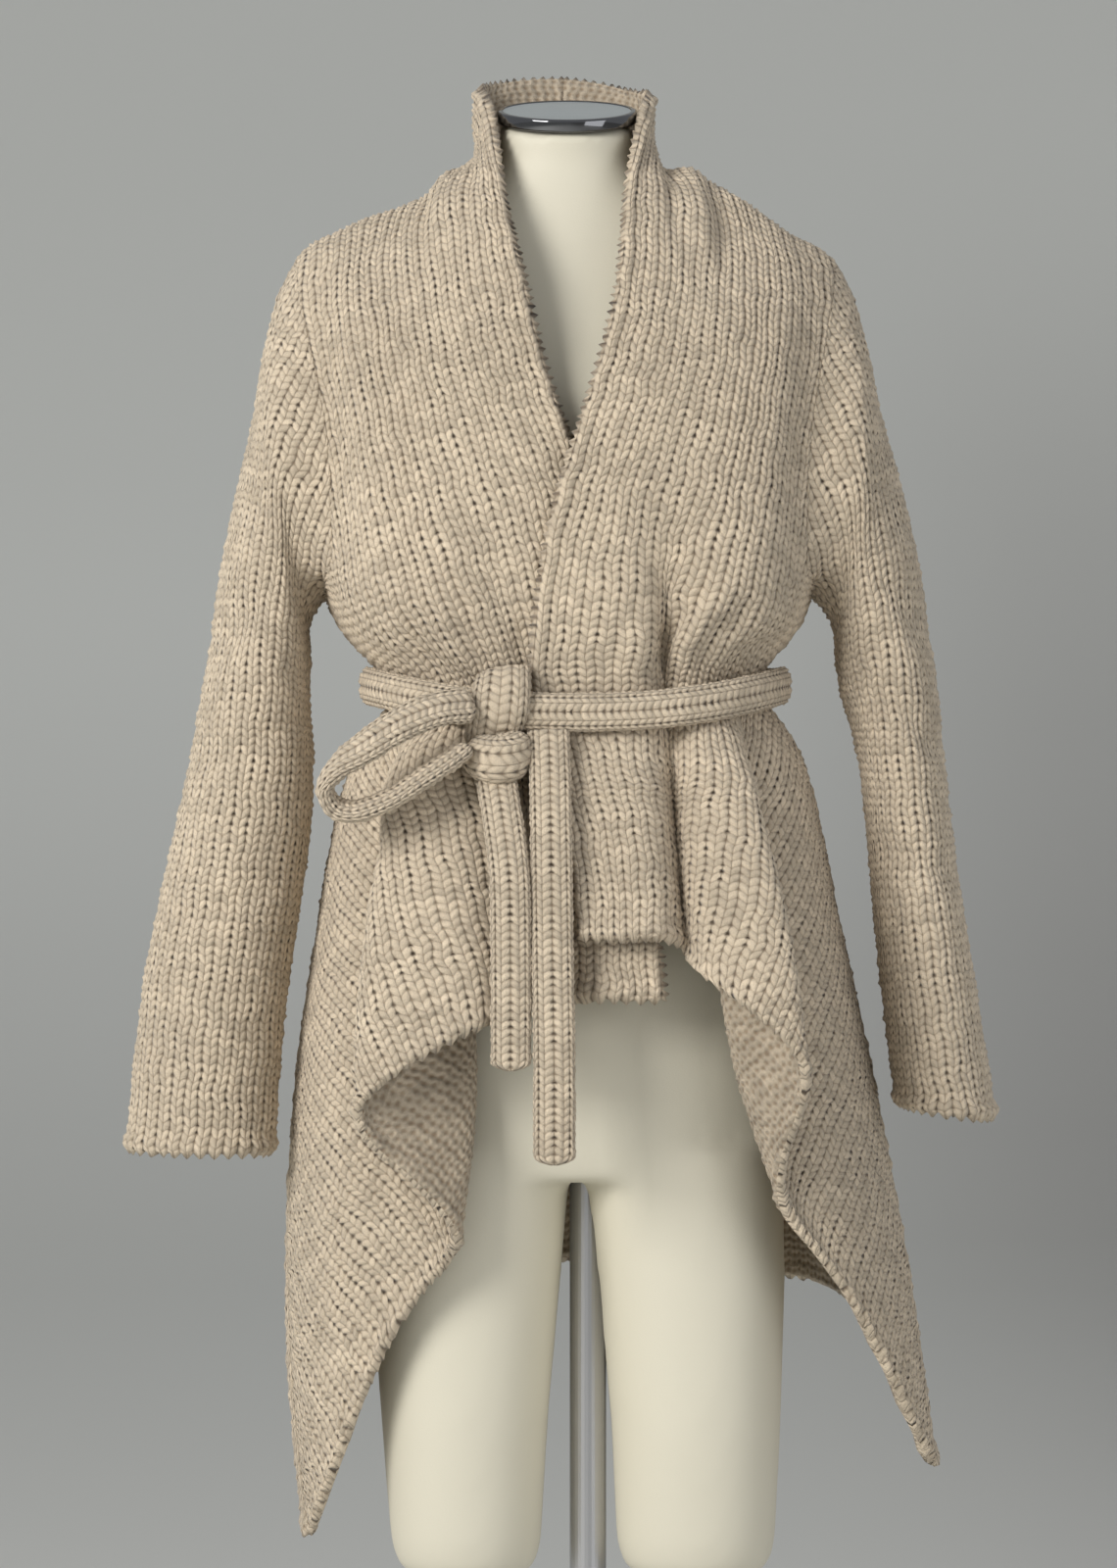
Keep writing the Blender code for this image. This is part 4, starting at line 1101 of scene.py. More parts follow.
@dataclass
class KnitPanel:
    """One panel of the garment: its outer side with stitches, its inner side and its rim."""

    name: str
    edge_bulge: float = 2.8 * MM
    hem_width: float = 4.4 * MM
    hem_height: float = 2.1 * MM
    seam_depth: float = 0.8 * MM
    rim_bumps: float = 0.8
    ridge_bumps: float = 0.45

    def grid(self, mesh: bmesh.types.BMesh, across: int, down: int) -> tuple:
        """Adds a flat grid of faces.

        Args:
            mesh: The mesh to add to.
            across: Faces from the first to the last corner.
            down: Faces from the first to the second corner.

        Returns:
            The numbers of its points by place, and where each place lies across and down.
        """
        first = len(mesh.verts)
        made = bmesh.ops.create_grid(mesh, x_segments=down, y_segments=across, size=0.5)["verts"]
        local = np.array([(vertex.co.y + 0.5, vertex.co.x + 0.5) for vertex in made])
        numbers = np.empty((across + 1, down + 1), dtype=int)
        rows = np.rint(local[:, 0] * across).astype(int)
        columns = np.rint(local[:, 1] * down).astype(int)
        numbers[rows, columns] = np.arange(first, first + len(made))
        return numbers, local[:, 0], local[:, 1]

    def build(self, cage: Cage, body: SmoothBody, materials: tuple) -> bpy.types.Object:
        """Makes the panel.

        Args:
            cage: The cage.
            body: Its smooth surface.
            materials: The finishes of the knit and the purl side.

        Returns:
            The panel's object.
        """
        own = [number for number, quad in enumerate(cage.quads) if quad.panel == self.name]
        panel_uses: dict = {}
        all_uses: dict = {}
        for number, quad in enumerate(cage.quads):
            for pair in zip(quad.corners, quad.corners[1:] + quad.corners[:1]):
                all_uses.setdefault(frozenset(pair), []).append(number)
                if quad.panel == self.name:
                    panel_uses.setdefault(frozenset(pair), []).append(number)
        mesh = bmesh.new()
        places: list = []
        stitches: list = []
        sides: list = []
        faces_before = 0
        inner_faces: list = []
        for number in own:
            quad = cage.quads[number]
            across = max(4, round(quad.samples_across * DENSITY / 4) * 4)
            down = max(4, round(quad.samples_down * DENSITY / 4) * 4)
            step_across = quad.samples_across // quad.inner_across
            step_down = quad.samples_down // quad.inner_down
            coarse_across = across // step_across
            coarse_down = down // step_down
            outer, *outer_spots = self.grid(mesh, across, down)
            self.place(cage, body, number, outer_spots, Face.KNIT, places, stitches)
            inner, *inner_spots = self.grid(mesh, coarse_across, coarse_down)
            self.place(cage, body, number, inner_spots, Face.PURL, places, stitches)
            mesh.faces.ensure_lookup_table()
            first_inner = faces_before + across * down
            faces_before = first_inner + coarse_across * coarse_down
            inner_faces.append((first_inner, faces_before))
            self.roll_edges(cage, body, number, all_uses, (outer_spots, inner_spots), places, stitches)
            sides += self.borders(quad, body, number, panel_uses, all_uses, outer, inner)
        return self.close(mesh, places, stitches, sides, inner_faces, materials)

    @staticmethod
    def seam_samples(cage: Cage, number: int, across: np.ndarray, down: np.ndarray) -> np.ndarray:
        """Finds the samples on a sleeve's seam, where the stitches of its two edges meet.

        Args:
            cage: The cage.
            number: The face of the cage.
            across: Where the samples lie across.
            down: Where they lie down.

        Returns:
            Whether each sample is on the seam.
        """
        keys = cage.quads[number].keys
        cut = [key[-1] in ("front", "behind") for key in keys]
        ways = (across < 1e-6, down > 1 - 1e-6, across > 1 - 1e-6, down < 1e-6)
        found = np.zeros(len(across), dtype=bool)
        for turn, way in enumerate(ways):
            if cut[turn] and cut[(turn + 1) % 4]:
                found |= way
        return found

    def place(self, cage: Cage, body: SmoothBody, number: int, spots: list, face: Face, places: list,
              stitches: list) -> None:
        """Places one grid on the outer or inner side of the cloth, with its relief.

        Args:
            cage: The cage.
            body: The smooth surface.
            number: The face of the cage.
            spots: Where the samples lie across and down.
            face: The side of the knitting: knit outside, purl inside.
            places: Takes the places.
            stitches: Takes the stitch coordinates.
        """
        across, down = spots
        sign = 1 if face is Face.KNIT else -1
        on_seam = self.seam_samples(cage, number, across, down)
        base = body.sample(body.places[number], across, down)
        normal = body.sample(body.normals[number], across, down)
        normal /= np.linalg.norm(normal, axis=1)[:, None]
        knit = body.sample(body.stitches[number], across, down)
        knit = KnitRelief().hand_knit(knit)
        relief = np.where(on_seam, -self.seam_depth, KnitRelief().height(knit, face))
        crease = crease_height(self.name, base)
        places.append(base + normal * (sign * (WALL / 2 + relief) + crease)[:, None])
        stitches.append(knit)

    def roll_edges(self, cage: Cage, body: SmoothBody, number: int, uses: dict, grids: tuple, places: list,
                   stitches: list) -> None:
        """Thickens the cloth along its free sides: the bound-off hems and cuffs and the rolled front edge.

        Args:
            cage: The cage.
            body: The smooth surface.
            number: The face of the cage.
            uses: The faces at each edge of the cage.
            grids: Where the samples of the outer and the inner grid lie, across and down.
            places: The places of both grids, the last two entries.
            stitches: Their stitch coordinates.
        """
        corners = cage.quads[number].corners
        grid = body.places[number]
        lengths_across = np.linalg.norm(grid[-1] - grid[0], axis=1)
        lengths_down = np.linalg.norm(grid[:, -1] - grid[:, 0], axis=1)
        for turn in range(4):
            if len(uses[frozenset((corners[turn], corners[(turn + 1) % 4]))]) > 1:
                continue
            for entry, (across, down), sign in ((-2, grids[0], 1), (-1, grids[1], -1)):
                towards, beside, lengths = (across, down, lengths_across) if turn % 2 == 0 else (
                    down, across, lengths_down)
                share = 1.0 if turn in (1, 2) else 0.0
                away = np.abs(share - towards) * np.interp(beside * GRID, range(GRID + 1), lengths)
                normal = body.sample(body.normals[number], across, down)
                normal /= np.linalg.norm(normal, axis=1)[:, None]
                uneven = 1 + self.ridge_bumps * np.cos(2 * math.pi * (stitches[entry][:, 0] - 0.5))
                uneven = np.where(self.seam_samples(cage, number, across, down), 1.0, uneven)
                ridge = np.exp(-((away - self.hem_width) / self.hem_width) ** 2) * self.hem_height * uneven
                places[entry] = places[entry] + normal * (sign * ridge)[:, None]

    def borders(self, quad: CageQuad, body: SmoothBody, number: int, panel_uses: dict, all_uses: dict,
                outer: np.ndarray, inner: np.ndarray) -> list:
        """Finds the sides of a face that end the panel.

        Args:
            quad: The face.
            body: The smooth surface.
            number: The face's number.
            panel_uses: The panel's faces at each edge of the cage.
            all_uses: All faces at each edge.
            outer: The outer grid's numbers.
            inner: The inner grid's numbers.

        Returns:
            The sides that need a rim.
        """
        grid = body.places[number]
        ways = (
            (outer[0], inner[0], grid[0] - grid[1], 0),
            (outer[:, -1], inner[:, -1], grid[:, -1] - grid[:, -2], 1),
            (outer[-1, ::-1], inner[-1, ::-1], (grid[-1] - grid[-2])[::-1], 2),
            (outer[::-1, 0], inner[::-1, 0], (grid[:, 0] - grid[:, 1])[::-1], 3),
        )
        pairs = [frozenset((quad.corners[turn], quad.corners[(turn + 1) % 4])) for turn in range(4)]
        free = [len(all_uses[pair]) == 1 for pair in pairs]
        found = []
        for outer_line, inner_line, outward, turn in ways:
            if len(panel_uses[pairs[turn]]) > 1:
                continue
            way = along_line(np.linspace(0, GRID, len(outer_line)), outward)
            way /= np.maximum(np.linalg.norm(way, axis=1), 1e-9)[:, None]
            bulge = way * (self.edge_bulge if free[turn] else 0.0)
            for end, neighbour in ((0, (turn - 1) % 4), (-1, (turn + 1) % 4)):
                if len(panel_uses[pairs[neighbour]]) == 1 and free[neighbour]:
                    bulge[end] += self.corner_way(grid, turn, neighbour) * self.edge_bulge
            found.append(Side(list(outer_line), list(inner_line), bulge))
        return found

    @staticmethod
    def corner_way(grid: np.ndarray, turn: int, neighbour: int) -> np.ndarray:
        """Finds the way out of a corner across its other free side.

        Args:
            grid: The places of the face.
            turn: The side that is closed.
            neighbour: The side next to it.

        Returns:
            A unit vector.
        """
        corner = neighbour if (turn + 1) % 4 == neighbour else turn
        row, column = ((0, 0), (0, -1), (-1, -1), (-1, 0))[corner]
        inward = {0: (1, 0), 1: (0, -1), 2: (-1, 0), 3: (0, 1)}[neighbour]
        row = row % (GRID + 1)
        column = column % (GRID + 1)
        way = grid[row, column] - grid[row + inward[0], column + inward[1]]
        return way / max(float(np.linalg.norm(way)), 1e-9)

    def close(self, mesh: bmesh.types.BMesh, places: list, stitches: list, sides: list, inner_faces: list,
              materials: tuple) -> bpy.types.Object:
        """Places the grids, turns the inner ones round, closes the rim and welds it all.

        Args:
            mesh: The flat grids.
            places: The place of each point.
            stitches: The stitch coordinates of each point.
            sides: The sides that need a rim.
            inner_faces: The first and last face of each inner grid.
            materials: The finishes of the knit and the purl side.

        Returns:
            The panel's object.
        """
        spots = np.concatenate(places)
        knit = np.concatenate(stitches)
        mesh.verts.index_update()
        mesh.verts.ensure_lookup_table()
        mesh.faces.ensure_lookup_table()
        pattern = mesh.loops.layers.uv.new("stitch")
        for vertex, spot in zip(mesh.verts, spots):
            vertex.co = spot
        knit_rows = knit.tolist()
        for face in mesh.faces:
            for corner in face.loops:
                corner[pattern].uv = knit_rows[corner.vert.index]
        backs = [mesh.faces[number] for first, last in inner_faces for number in range(first, last)]
        for face in backs:
            face.material_index = Face.PURL.value
        bmesh.ops.reverse_faces(mesh, faces=backs)
        vertices = list(mesh.verts)
        for side in sides:
            self.rim(mesh, side, vertices, spots, knit_rows, pattern)
        for face in mesh.faces:
            face.smooth = True
        bmesh.ops.remove_doubles(mesh, verts=mesh.verts, dist=WELD)
        return mesh_object(mesh, f"{self.name}_knit", materials, self.name)

    def rim(self, mesh: bmesh.types.BMesh, side: Side, vertices: list, spots: np.ndarray, knit: list,
            pattern: bmesh.types.BMLayerItem) -> None:
        """Closes one side: outer line to a middle line, and that to the inner line.

        Args:
            mesh: The mesh.
            side: The side.
            vertices: The mesh's points before the rim.
            spots: Their places.
            knit: Their stitch coordinates.
            pattern: The layer for the stitch coordinates.
        """
        outer = [vertices[number] for number in side.outer]
        inner = [vertices[number] for number in side.inner]
        step = (len(outer) - 1) // (len(inner) - 1)
        shares = np.linspace(0, len(inner) - 1, len(outer))
        opposite = along_line(shares, spots[side.inner])
        along = np.array([knit[number] for number in side.outer])
        lengthwise = int(np.ptp(along[:, 1]) > np.ptp(along[:, 0]))
        swell = 1 + self.rim_bumps * np.cos(2 * math.pi * (along[:, lengthwise] - 0.5))
        swell[[0, -1]] = 1
        middle_spots = (spots[side.outer] + opposite) / 2 + side.outward * swell[:, None]
        middle = [mesh.verts.new(spot) for spot in middle_spots]
        for number in range(len(outer) - 1):
            loop = (outer[number + 1], outer[number], middle[number], middle[number + 1])
            keys = (side.outer[number + 1], side.outer[number], side.outer[number], side.outer[number + 1])
            self.add_face(mesh, loop, keys, knit, pattern)
        for number in range(len(inner) - 1):
            run = range(number * step, (number + 1) * step + 1)
            loop = [middle[place] for place in reversed(run)] + [inner[number], inner[number + 1]]
            keys = [side.outer[place] for place in reversed(run)]
            keys += [side.outer[number * step], side.outer[(number + 1) * step]]
            self.add_face(mesh, loop, keys, knit, pattern)

    @staticmethod
    def add_face(mesh: bmesh.types.BMesh, loop: Iterable, keys: Iterable, knit: list,
                 pattern: bmesh.types.BMLayerItem) -> None:
        """Adds a rim face with the stitch coordinates of the outer points next to it."""
        face = mesh.faces.new(loop)
        for corner, key in zip(face.loops, keys):
            corner[pattern].uv = knit[key]


@dataclass
class BeltPiece:
    """A stretch of the knitted tube belt along a route, with stitches that run along it."""

    name: str
    route: list
    width: float
    thick: float
    width_axis: tuple
    stations: int
    closed: bool = False
    around: int = 40
    groove: float = 0.0
    belly: float = 0.0
    tucked: bool = False
    first_axis: Optional[tuple] = None
    slot: str = "knit"
    wale_height: float = 1.0 * MM
    leg_height: float = 0.8 * MM
    curve_steps: int = 12
    end_round: float = 0.7
    end_least: float = 0.05
    flatness: float = 0.8
    groove_place: float = 0.52
    groove_width: float = 0.11
    turn_start: float = 0.3
    turn_length: float = 0.25
    length: float = 0.0

    @property
    def girth(self) -> float:
        """Measures round the flat tube."""
        return 2 * (self.width + self.thick) * BELT_GIRTH_SHARE

    @property
    def wales_around(self) -> int:
        """Counts the wales round the tube."""
        return round(self.girth / BELT_WALE)

    def path(self) -> list:
        """Spreads points evenly along a smooth curve through the route.

        Returns:
            The points, in metres.
        """
        nodes = [Vector(point) * MM for point in self.route]
        count = len(nodes)
        fine = []
        for span in range(count if self.closed else count - 1):
            if self.closed:
                turn = [nodes[(span + shift) % count] for shift in (-1, 0, 1, 2)]
            else:
                turn = [nodes[min(max(span + shift, 0), count - 1)] for shift in (-1, 0, 1, 2)]
            before, start, end, after = turn
            for step in range(self.curve_steps):
                t = step / self.curve_steps
                fine.append(start + (end - before) * (t / 2)
                            + (before * 2 - start * 5 + end * 4 - after) * (t * t / 2)
                            + (start * 3 - before - end * 3 + after) * (t ** 3 / 2))
        fine.append(nodes[0] if self.closed else nodes[-1])
        spots = np.array(fine)
        lengths = np.concatenate(((0,), np.cumsum(np.linalg.norm(np.diff(spots, axis=0), axis=1))))
        self.length = float(lengths[-1])
        picks = np.linspace(0, self.length, self.stations + 1)
        return [np.array([np.interp(pick, lengths, spots[:, axis]) for axis in range(3)]) for pick in picks]

    def rows(self) -> int:
        """Counts the rows of stitches along the piece."""
        return round(self.length / BELT_COURSE)

    def build(self, material: bpy.types.Material) -> bpy.types.Object:
        """Makes the tube.

        Args:
            material: The yarn's finish.

        Returns:
            The belt piece's object.
        """
        path = self.path()
        mesh = bmesh.new()
        bmesh.ops.create_grid(mesh, x_segments=self.around, y_segments=self.stations, size=0.5)
        pattern = mesh.loops.layers.uv.new("stitch")
        mesh.verts.index_update()
        spots = {}
        for vertex in mesh.verts:
            turn = vertex.co.x + 0.5
            station = round((vertex.co.y + 0.5) * self.stations)
            spots[vertex.index] = (turn, station)
        for face in mesh.faces:
            for corner in face.loops:
                turn, station = spots[corner.vert.index]
                corner[pattern].uv = (turn * self.wales_around, station / self.stations * self.rows())
        relief = KnitRelief(wale_height=self.wale_height, leg_height=self.leg_height)
        for vertex in mesh.verts:
            turn, station = spots[vertex.index]
            vertex.co = self.spot(path, turn, station, relief)
        bmesh.ops.remove_doubles(mesh, verts=mesh.verts, dist=WELD)
        rims = [edge for edge in mesh.edges if edge.is_boundary]
        if rims:
            bmesh.ops.holes_fill(mesh, edges=rims, sides=0)
        bmesh.ops.recalc_face_normals(mesh, faces=mesh.faces)
        for face in mesh.faces:
            face.smooth = True
        return mesh_object(mesh, f"{self.name}_knit", (material,), self.name)

    def spot(self, path: list, turn: float, station: int, relief: KnitRelief) -> Vector:
        """Places one point of the tube.

        Args:
            path: The stations.
            turn: How far round, from 0 to 1.
            station: The station's number.
            relief: The stitches.

        Returns:
            The place in metres.
        """
        last = self.stations
        after = path[1] if self.closed and station == last else path[min(station + 1, last)]
        before = path[last - 1] if self.closed and station == 0 else path[max(station - 1, 0)]
        along = Vector(after - before).normalized()
        across = Vector(self.width_axis)
        if self.first_axis:
            turned = min(max((station / last - self.turn_start) / self.turn_length, 0.0), 1.0)
            across = Vector(self.first_axis).lerp(across, turned * turned * (3 - 2 * turned))
        across = (across - along * across.dot(along)).normalized()
        up = along.cross(across)
        from_end = (last - station if self.tucked else min(station, last - station)) / last * self.length
        round_end = self.thick * self.end_round
        shrink = 1.0
        if not self.closed and from_end < round_end:
            shrink = math.sqrt(max(self.end_least, 1 - (1 - from_end / round_end) ** 2))
        angle = 2 * math.pi * turn
        flat = abs(math.cos(angle)) ** self.flatness * math.copysign(1, math.cos(angle))
        wale = turn % 1.0 * self.wales_around
        course = 0.0 if self.closed and station == last else station / last * self.rows()
        rise = float(relief.height(np.array([[wale, course]]), Face.KNIT)[0]) * shrink
        roll = self.groove * math.exp(-((flat - self.groove_place) / self.groove_width) ** 2)
        swell = 1 + self.belly * math.sin(math.pi * station / last)
        out = Vector((flat * self.width / 2, math.sin(angle) * self.thick / 2, 0)) * swell
        normal = Vector((math.cos(angle) * self.thick, math.sin(angle) * self.width, 0)).normalized()
        out = (out + normal * (rise - roll)) * shrink
        return Vector(path[station]) + across * out.x + up * out.y


def fit_to_node(obj: bpy.types.Object, node: str) -> None:
    """Moves a piece's mesh so that its middle is where its node's middle is.

    Args:
        obj: The piece.
        node: The solid that it stands for.
    """
    low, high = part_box(node)
    corners = np.array([vertex.co for vertex in obj.data.vertices])
    middle = (corners.min(axis=0) + corners.max(axis=0)) / 2
    target = (np.array(low) + np.array(high)) / 2
    obj.data.transform(Matrix.Translation(Vector(target - middle)))


@dataclass
class Belt:
    """The knitted tube belt: its band, knot, loop and two tails."""

    middle_x: float = BELT_MIDDLE_X
    band_stations: int = 420
    station_samples: int = 7
    tail_groove: float = 1.6 * MM
    pieces: list = field(default_factory=list)

    def band_route(self) -> list:
        """Places the closed route round the waist, lowest at the knot.

        Returns:
            The route in millimetres.
        """
        route = []
        for station in range(BELT_STATIONS):
            angle = 2 * math.pi * station / BELT_STATIONS
            sine, cosine = math.sin(angle), math.cos(angle)
            power = 2 / BELT_ROUNDNESS
            x = BELT_HALF_WIDTH * math.copysign(abs(sine) ** power, sine)
            y = -(BELT_FRONT if cosine > 0 else BELT_BACK) * math.copysign(abs(cosine) ** power, cosine)
            level = BELT_FRONT_Z if cosine > 0 else BELT_BACK_Z
            route.append((self.middle_x + x, y, level + (BELT_SIDE_Z - level) * sine ** 2))
        return route

    def build(self, material: bpy.types.Material) -> None:
        """Makes every stretch of the belt where its solid is.

        Args:
            material: The yarn's finish.
        """
        band = BeltPiece("belt_band", self.band_route(), BELT_HEIGHT, BELT_THICK, (0, 0, 1),
                         round(self.band_stations * DENSITY), closed=True)
        self.pieces.append((band, band.build(material)))
        for name, sweep in BELT_SWEEPS.items():
            tail = name.startswith("belt_tail")
            piece = BeltPiece(name, list(sweep.route), sweep.width * MM, sweep.thick * MM, sweep.width_axis,
                              round(sweep.stations * self.station_samples * DENSITY),
                              groove=self.tail_groove if tail else 0.0, belly=KNOT_BELLY.get(name, 0.0),
                              tucked=tail, first_axis=FIRST_AXIS.get(name))
            obj = piece.build(material)
            fit_to_node(obj, name)
            self.pieces.append((piece, obj))
        for piece, obj in self.pieces:
            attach(obj, "root")
            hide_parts(piece.name)
            LOG.info("%s: %d faces", piece.name, len(obj.data.polygons))


class NodeSketch:
    """Short calls that add shader nodes to one node tree."""

    def __init__(self, tree: bpy.types.NodeTree) -> None:
        """Keeps the tree."""
        self.tree = tree

    def add(self, kind: str, inputs: Optional[dict] = None, **settings: object) -> bpy.types.Node:
        """Adds a node.

        Args:
            kind: The node's type.
            inputs: Values or sockets by input name or number.
            **settings: Properties of the node.

        Returns:
            The node.
        """
        node = self.tree.nodes.new(kind)
        for name, value in settings.items():
            setattr(node, name, value)
        for name, value in (inputs or {}).items():
            if isinstance(value, bpy.types.NodeSocket):
                self.tree.links.new(value, node.inputs[name])
            else:
                node.inputs[name].default_value = value
        return node

    def math(self, operation: str, first: object, second: object = 0.0, third: object = 0.0,
             clamp: bool = False) -> bpy.types.NodeSocket:
        """Adds a Math node.

        Args:
            operation: Its operation.
            first: The first value or socket.
            second: The second.
            third: The third.
            clamp: Whether the result stays between 0 and 1.

        Returns:
            The result's socket.
        """
        values = {0: first, 1: second, 2: third}
        return self.add("ShaderNodeMath", values, operation=operation, use_clamp=clamp).outputs[0]

    def smooth(self, value: object, low: float, high: float) -> bpy.types.NodeSocket:
        """Adds a smooth step from 0 at the low value to 1 at the high one."""
        node = self.add("ShaderNodeMapRange", {"Value": value, "From Min": low, "From Max": high},
                        interpolation_type="SMOOTHSTEP")
        return node.outputs["Result"]

    def mix(self, share: object, first: object, second: object, blend: str = "MIX") -> bpy.types.NodeSocket:
        """Mixes two colours.

        Args:
            share: How much of the second colour.
            first: The first colour or socket.
            second: The second.
            blend: The way they mix.

        Returns:
            The mixed colour's socket.
        """
        node = self.add("ShaderNodeMix", {0: share, 6: first, 7: second}, data_type="RGBA", blend_type=blend)
        return node.outputs[2]

    def noise(self, where: object, scale: float, detail: float = 2.0) -> bpy.types.NodeSocket:
        """Adds a noise texture and returns its grey value."""
        node = self.add("ShaderNodeTexNoise", {"Vector": where, "Scale": scale, "Detail": detail})
        return node.outputs["Fac"]

    def tint(self, colour: object, value: object, spread: tuple, gain: tuple) -> bpy.types.NodeSocket:
        """Makes a colour darker and lighter with a value.

        Args:
            colour: The colour or socket.
            value: The value.
            spread: The value's range.
            gain: The factors at both ends of that range.

        Returns:
            The new colour's socket.
        """
        factor = self.add("ShaderNodeMapRange", {"Value": value, "From Min": spread[0], "From Max": spread[1],
                                                 "To Min": gain[0], "To Max": gain[1]})
        return self.mix(1.0, colour, factor.outputs[0], "MULTIPLY")


def new_material(name: str) -> tuple:
    """Makes a material with nodes.

    Args:
        name: The material's name.

    Returns:
        The material, a sketch of its nodes and its shader.
    """
    material = bpy.data.materials.new(name)
    material.use_nodes = True
    return material, NodeSketch(material.node_tree), material.node_tree.nodes["Principled BSDF"]


def new_group(name: str, inputs: dict, outputs: dict) -> tuple:
    """Makes a shader group with named sockets.

    Args:
        name: The group's name.
        inputs: The kind of each input.
        outputs: The kind of each output.

    Returns:
        The tree, a sketch of it, its input node and its output node.
    """
    tree = bpy.data.node_groups.new(name, "ShaderNodeTree")
    for socket, kind in inputs.items():
        tree.interface.new_socket(socket, in_out="INPUT", socket_type=kind)
    for socket, kind in outputs.items():
        tree.interface.new_socket(socket, in_out="OUTPUT", socket_type=kind)
    sketch = NodeSketch(tree)
    return tree, sketch, sketch.add("NodeGroupInput"), sketch.add("NodeGroupOutput")


# Painted shade for the holes between the stitches.
HOLE_SHADE = (0.05, 0.032, 0.018, 1.0)


def knit_group() -> bpy.types.NodeTree:
    """Makes the stitches' colour, with painted shade in their hollows and holes, and their fine height from
    stitch coordinates.

    Returns:
        The shader group.
    """
    tree, sketch, given, result = new_group(
        "Knitted yarn", {"Stitch": "NodeSocketVector", "Light": "NodeSocketColor", "Shade": "NodeSocketColor",
                         "Purl": "NodeSocketFloat"},
        {"Color": "NodeSocketColor", "Height": "NodeSocketFloat"})
    where = sketch.add("ShaderNodeTexCoord").outputs["Object"]
    tone = sketch.noise(where, 11.0, 2.0)
    fibre = sketch.noise(where, 1300.0, 4.0)
    thick = sketch.add("ShaderNodeMapping", {"Vector": given.outputs["Stitch"], "Scale": (0.42, 1.0, 1.0)})
    slub = sketch.noise(thick.outputs[0], 1.0, 2.0)
    patches = sketch.add("ShaderNodeMapping", {
        "Vector": given.outputs["Stitch"], "Scale": (0.33, 0.21, 1.0), "Location": (7.0, 3.0, 0.0)})
    loose = sketch.noise(patches.outputs[0], 1.0)
    parts = sketch.add("ShaderNodeSeparateXYZ", {0: given.outputs["Stitch"]})
    off = sketch.math("ABSOLUTE", sketch.math("SUBTRACT", sketch.math("FRACT", parts.outputs[0]), 0.5))
    phase = sketch.math("FRACT", sketch.math("MULTIPLY_ADD", off, KnitRelief.slope, parts.outputs[1]))
    from_leg = sketch.math("MULTIPLY_ADD", off, 4.0, -1.0)
    leg = sketch.math("SUBTRACT", 1.0, sketch.math("MULTIPLY", from_leg, from_leg), clamp=True)
    arc = sketch.math("SINE", sketch.math("MULTIPLY", phase, math.pi))
    middle = sketch.math("MULTIPLY_ADD", off, -0.30, 0.36)
    plump = sketch.math("MULTIPLY_ADD", sketch.math("POWER", leg, 0.6), 0.7, middle)
    knit = sketch.math("MULTIPLY", plump, sketch.math("MULTIPLY_ADD", arc, 0.55, 0.45))
    wave = sketch.math("SINE", sketch.math("MULTIPLY", parts.outputs[0], 2 * math.pi))
    row = sketch.math("MULTIPLY_ADD", wave, KnitRelief.purl_wave, parts.outputs[1])
    ripple = sketch.math("COSINE", sketch.math("MULTIPLY", row, 2 * math.pi))
    pebbles = sketch.math("COSINE", sketch.math("MULTIPLY", parts.outputs[0], 4 * math.pi))
    beads = sketch.math("MULTIPLY_ADD", pebbles, 0.16, sketch.math("MULTIPLY", ripple, 0.24))
    purl = sketch.math("ADD", beads, sketch.math("MULTIPLY_ADD", slub, 0.5, 0.33))
    height = sketch.add("ShaderNodeMix", {0: given.outputs["Purl"], 2: knit, 3: purl}).outputs[0]
    side_hole = sketch.smooth(off, 0.32, 0.47)
    from_middle = sketch.math("ABSOLUTE", sketch.math("MULTIPLY_ADD", phase, 2.0, -1.0))
    end_hole = sketch.smooth(from_middle, 0.25, 0.90)
    cell = sketch.add("ShaderNodeCombineXYZ", {
        0: sketch.math("FLOOR", sketch.math("ADD", parts.outputs[0], 0.5)),
        1: sketch.math("FLOOR", sketch.math("MULTIPLY_ADD", off, KnitRelief.slope, parts.outputs[1]))})
    chance = sketch.add("ShaderNodeTexWhiteNoise", {"Vector": cell.outputs[0]}).outputs["Value"]
    open_knit = sketch.math("MULTIPLY", sketch.smooth(loose, 0.36, 0.60), sketch.smooth(chance, 0.05, 0.9))
    is_knit = sketch.math("SUBTRACT", 1.0, given.outputs["Purl"])
    depth = sketch.math("MULTIPLY", sketch.math("MULTIPLY_ADD", open_knit, 0.9, 0.16), is_knit, clamp=True)
    hole = sketch.math("MULTIPLY", sketch.math("MULTIPLY", side_hole, end_hole), depth)
    # Painted shade in the hollows between the stitches, from the relief's height: the shade colour where it
    # is low, the yarn's light colour on the crowns.
    body = sketch.mix(sketch.smooth(height, 0.0, 0.75), given.outputs["Shade"], given.outputs["Light"])
    toned = sketch.tint(body, tone, (0.3, 0.7), (0.92, 1.06))
    lump = sketch.math("MULTIPLY_ADD", chance, 0.45, sketch.math("MULTIPLY", slub, 0.55))
    slubbed = sketch.tint(toned, lump, (0.2, 0.8), (0.80, 1.14))
    fuzzed = sketch.tint(slubbed, fibre, (0.3, 0.7), (0.84, 1.12))
    # Painted shade in the holes between the stitches.
    hole_shaded = sketch.mix(hole, fuzzed, HOLE_SHADE)
    sketch.tree.links.new(hole_shaded, result.inputs["Color"])
    raised = sketch.math("MULTIPLY_ADD", sketch.math("SUBTRACT", fibre, 0.5), 0.55, height)
    lumpy = sketch.math("MULTIPLY_ADD", sketch.math("SUBTRACT", lump, 0.5), 0.6, raised)
    sketch.tree.links.new(sketch.math("MULTIPLY_ADD", hole, -0.6, lumpy), result.inputs["Height"])
    return tree


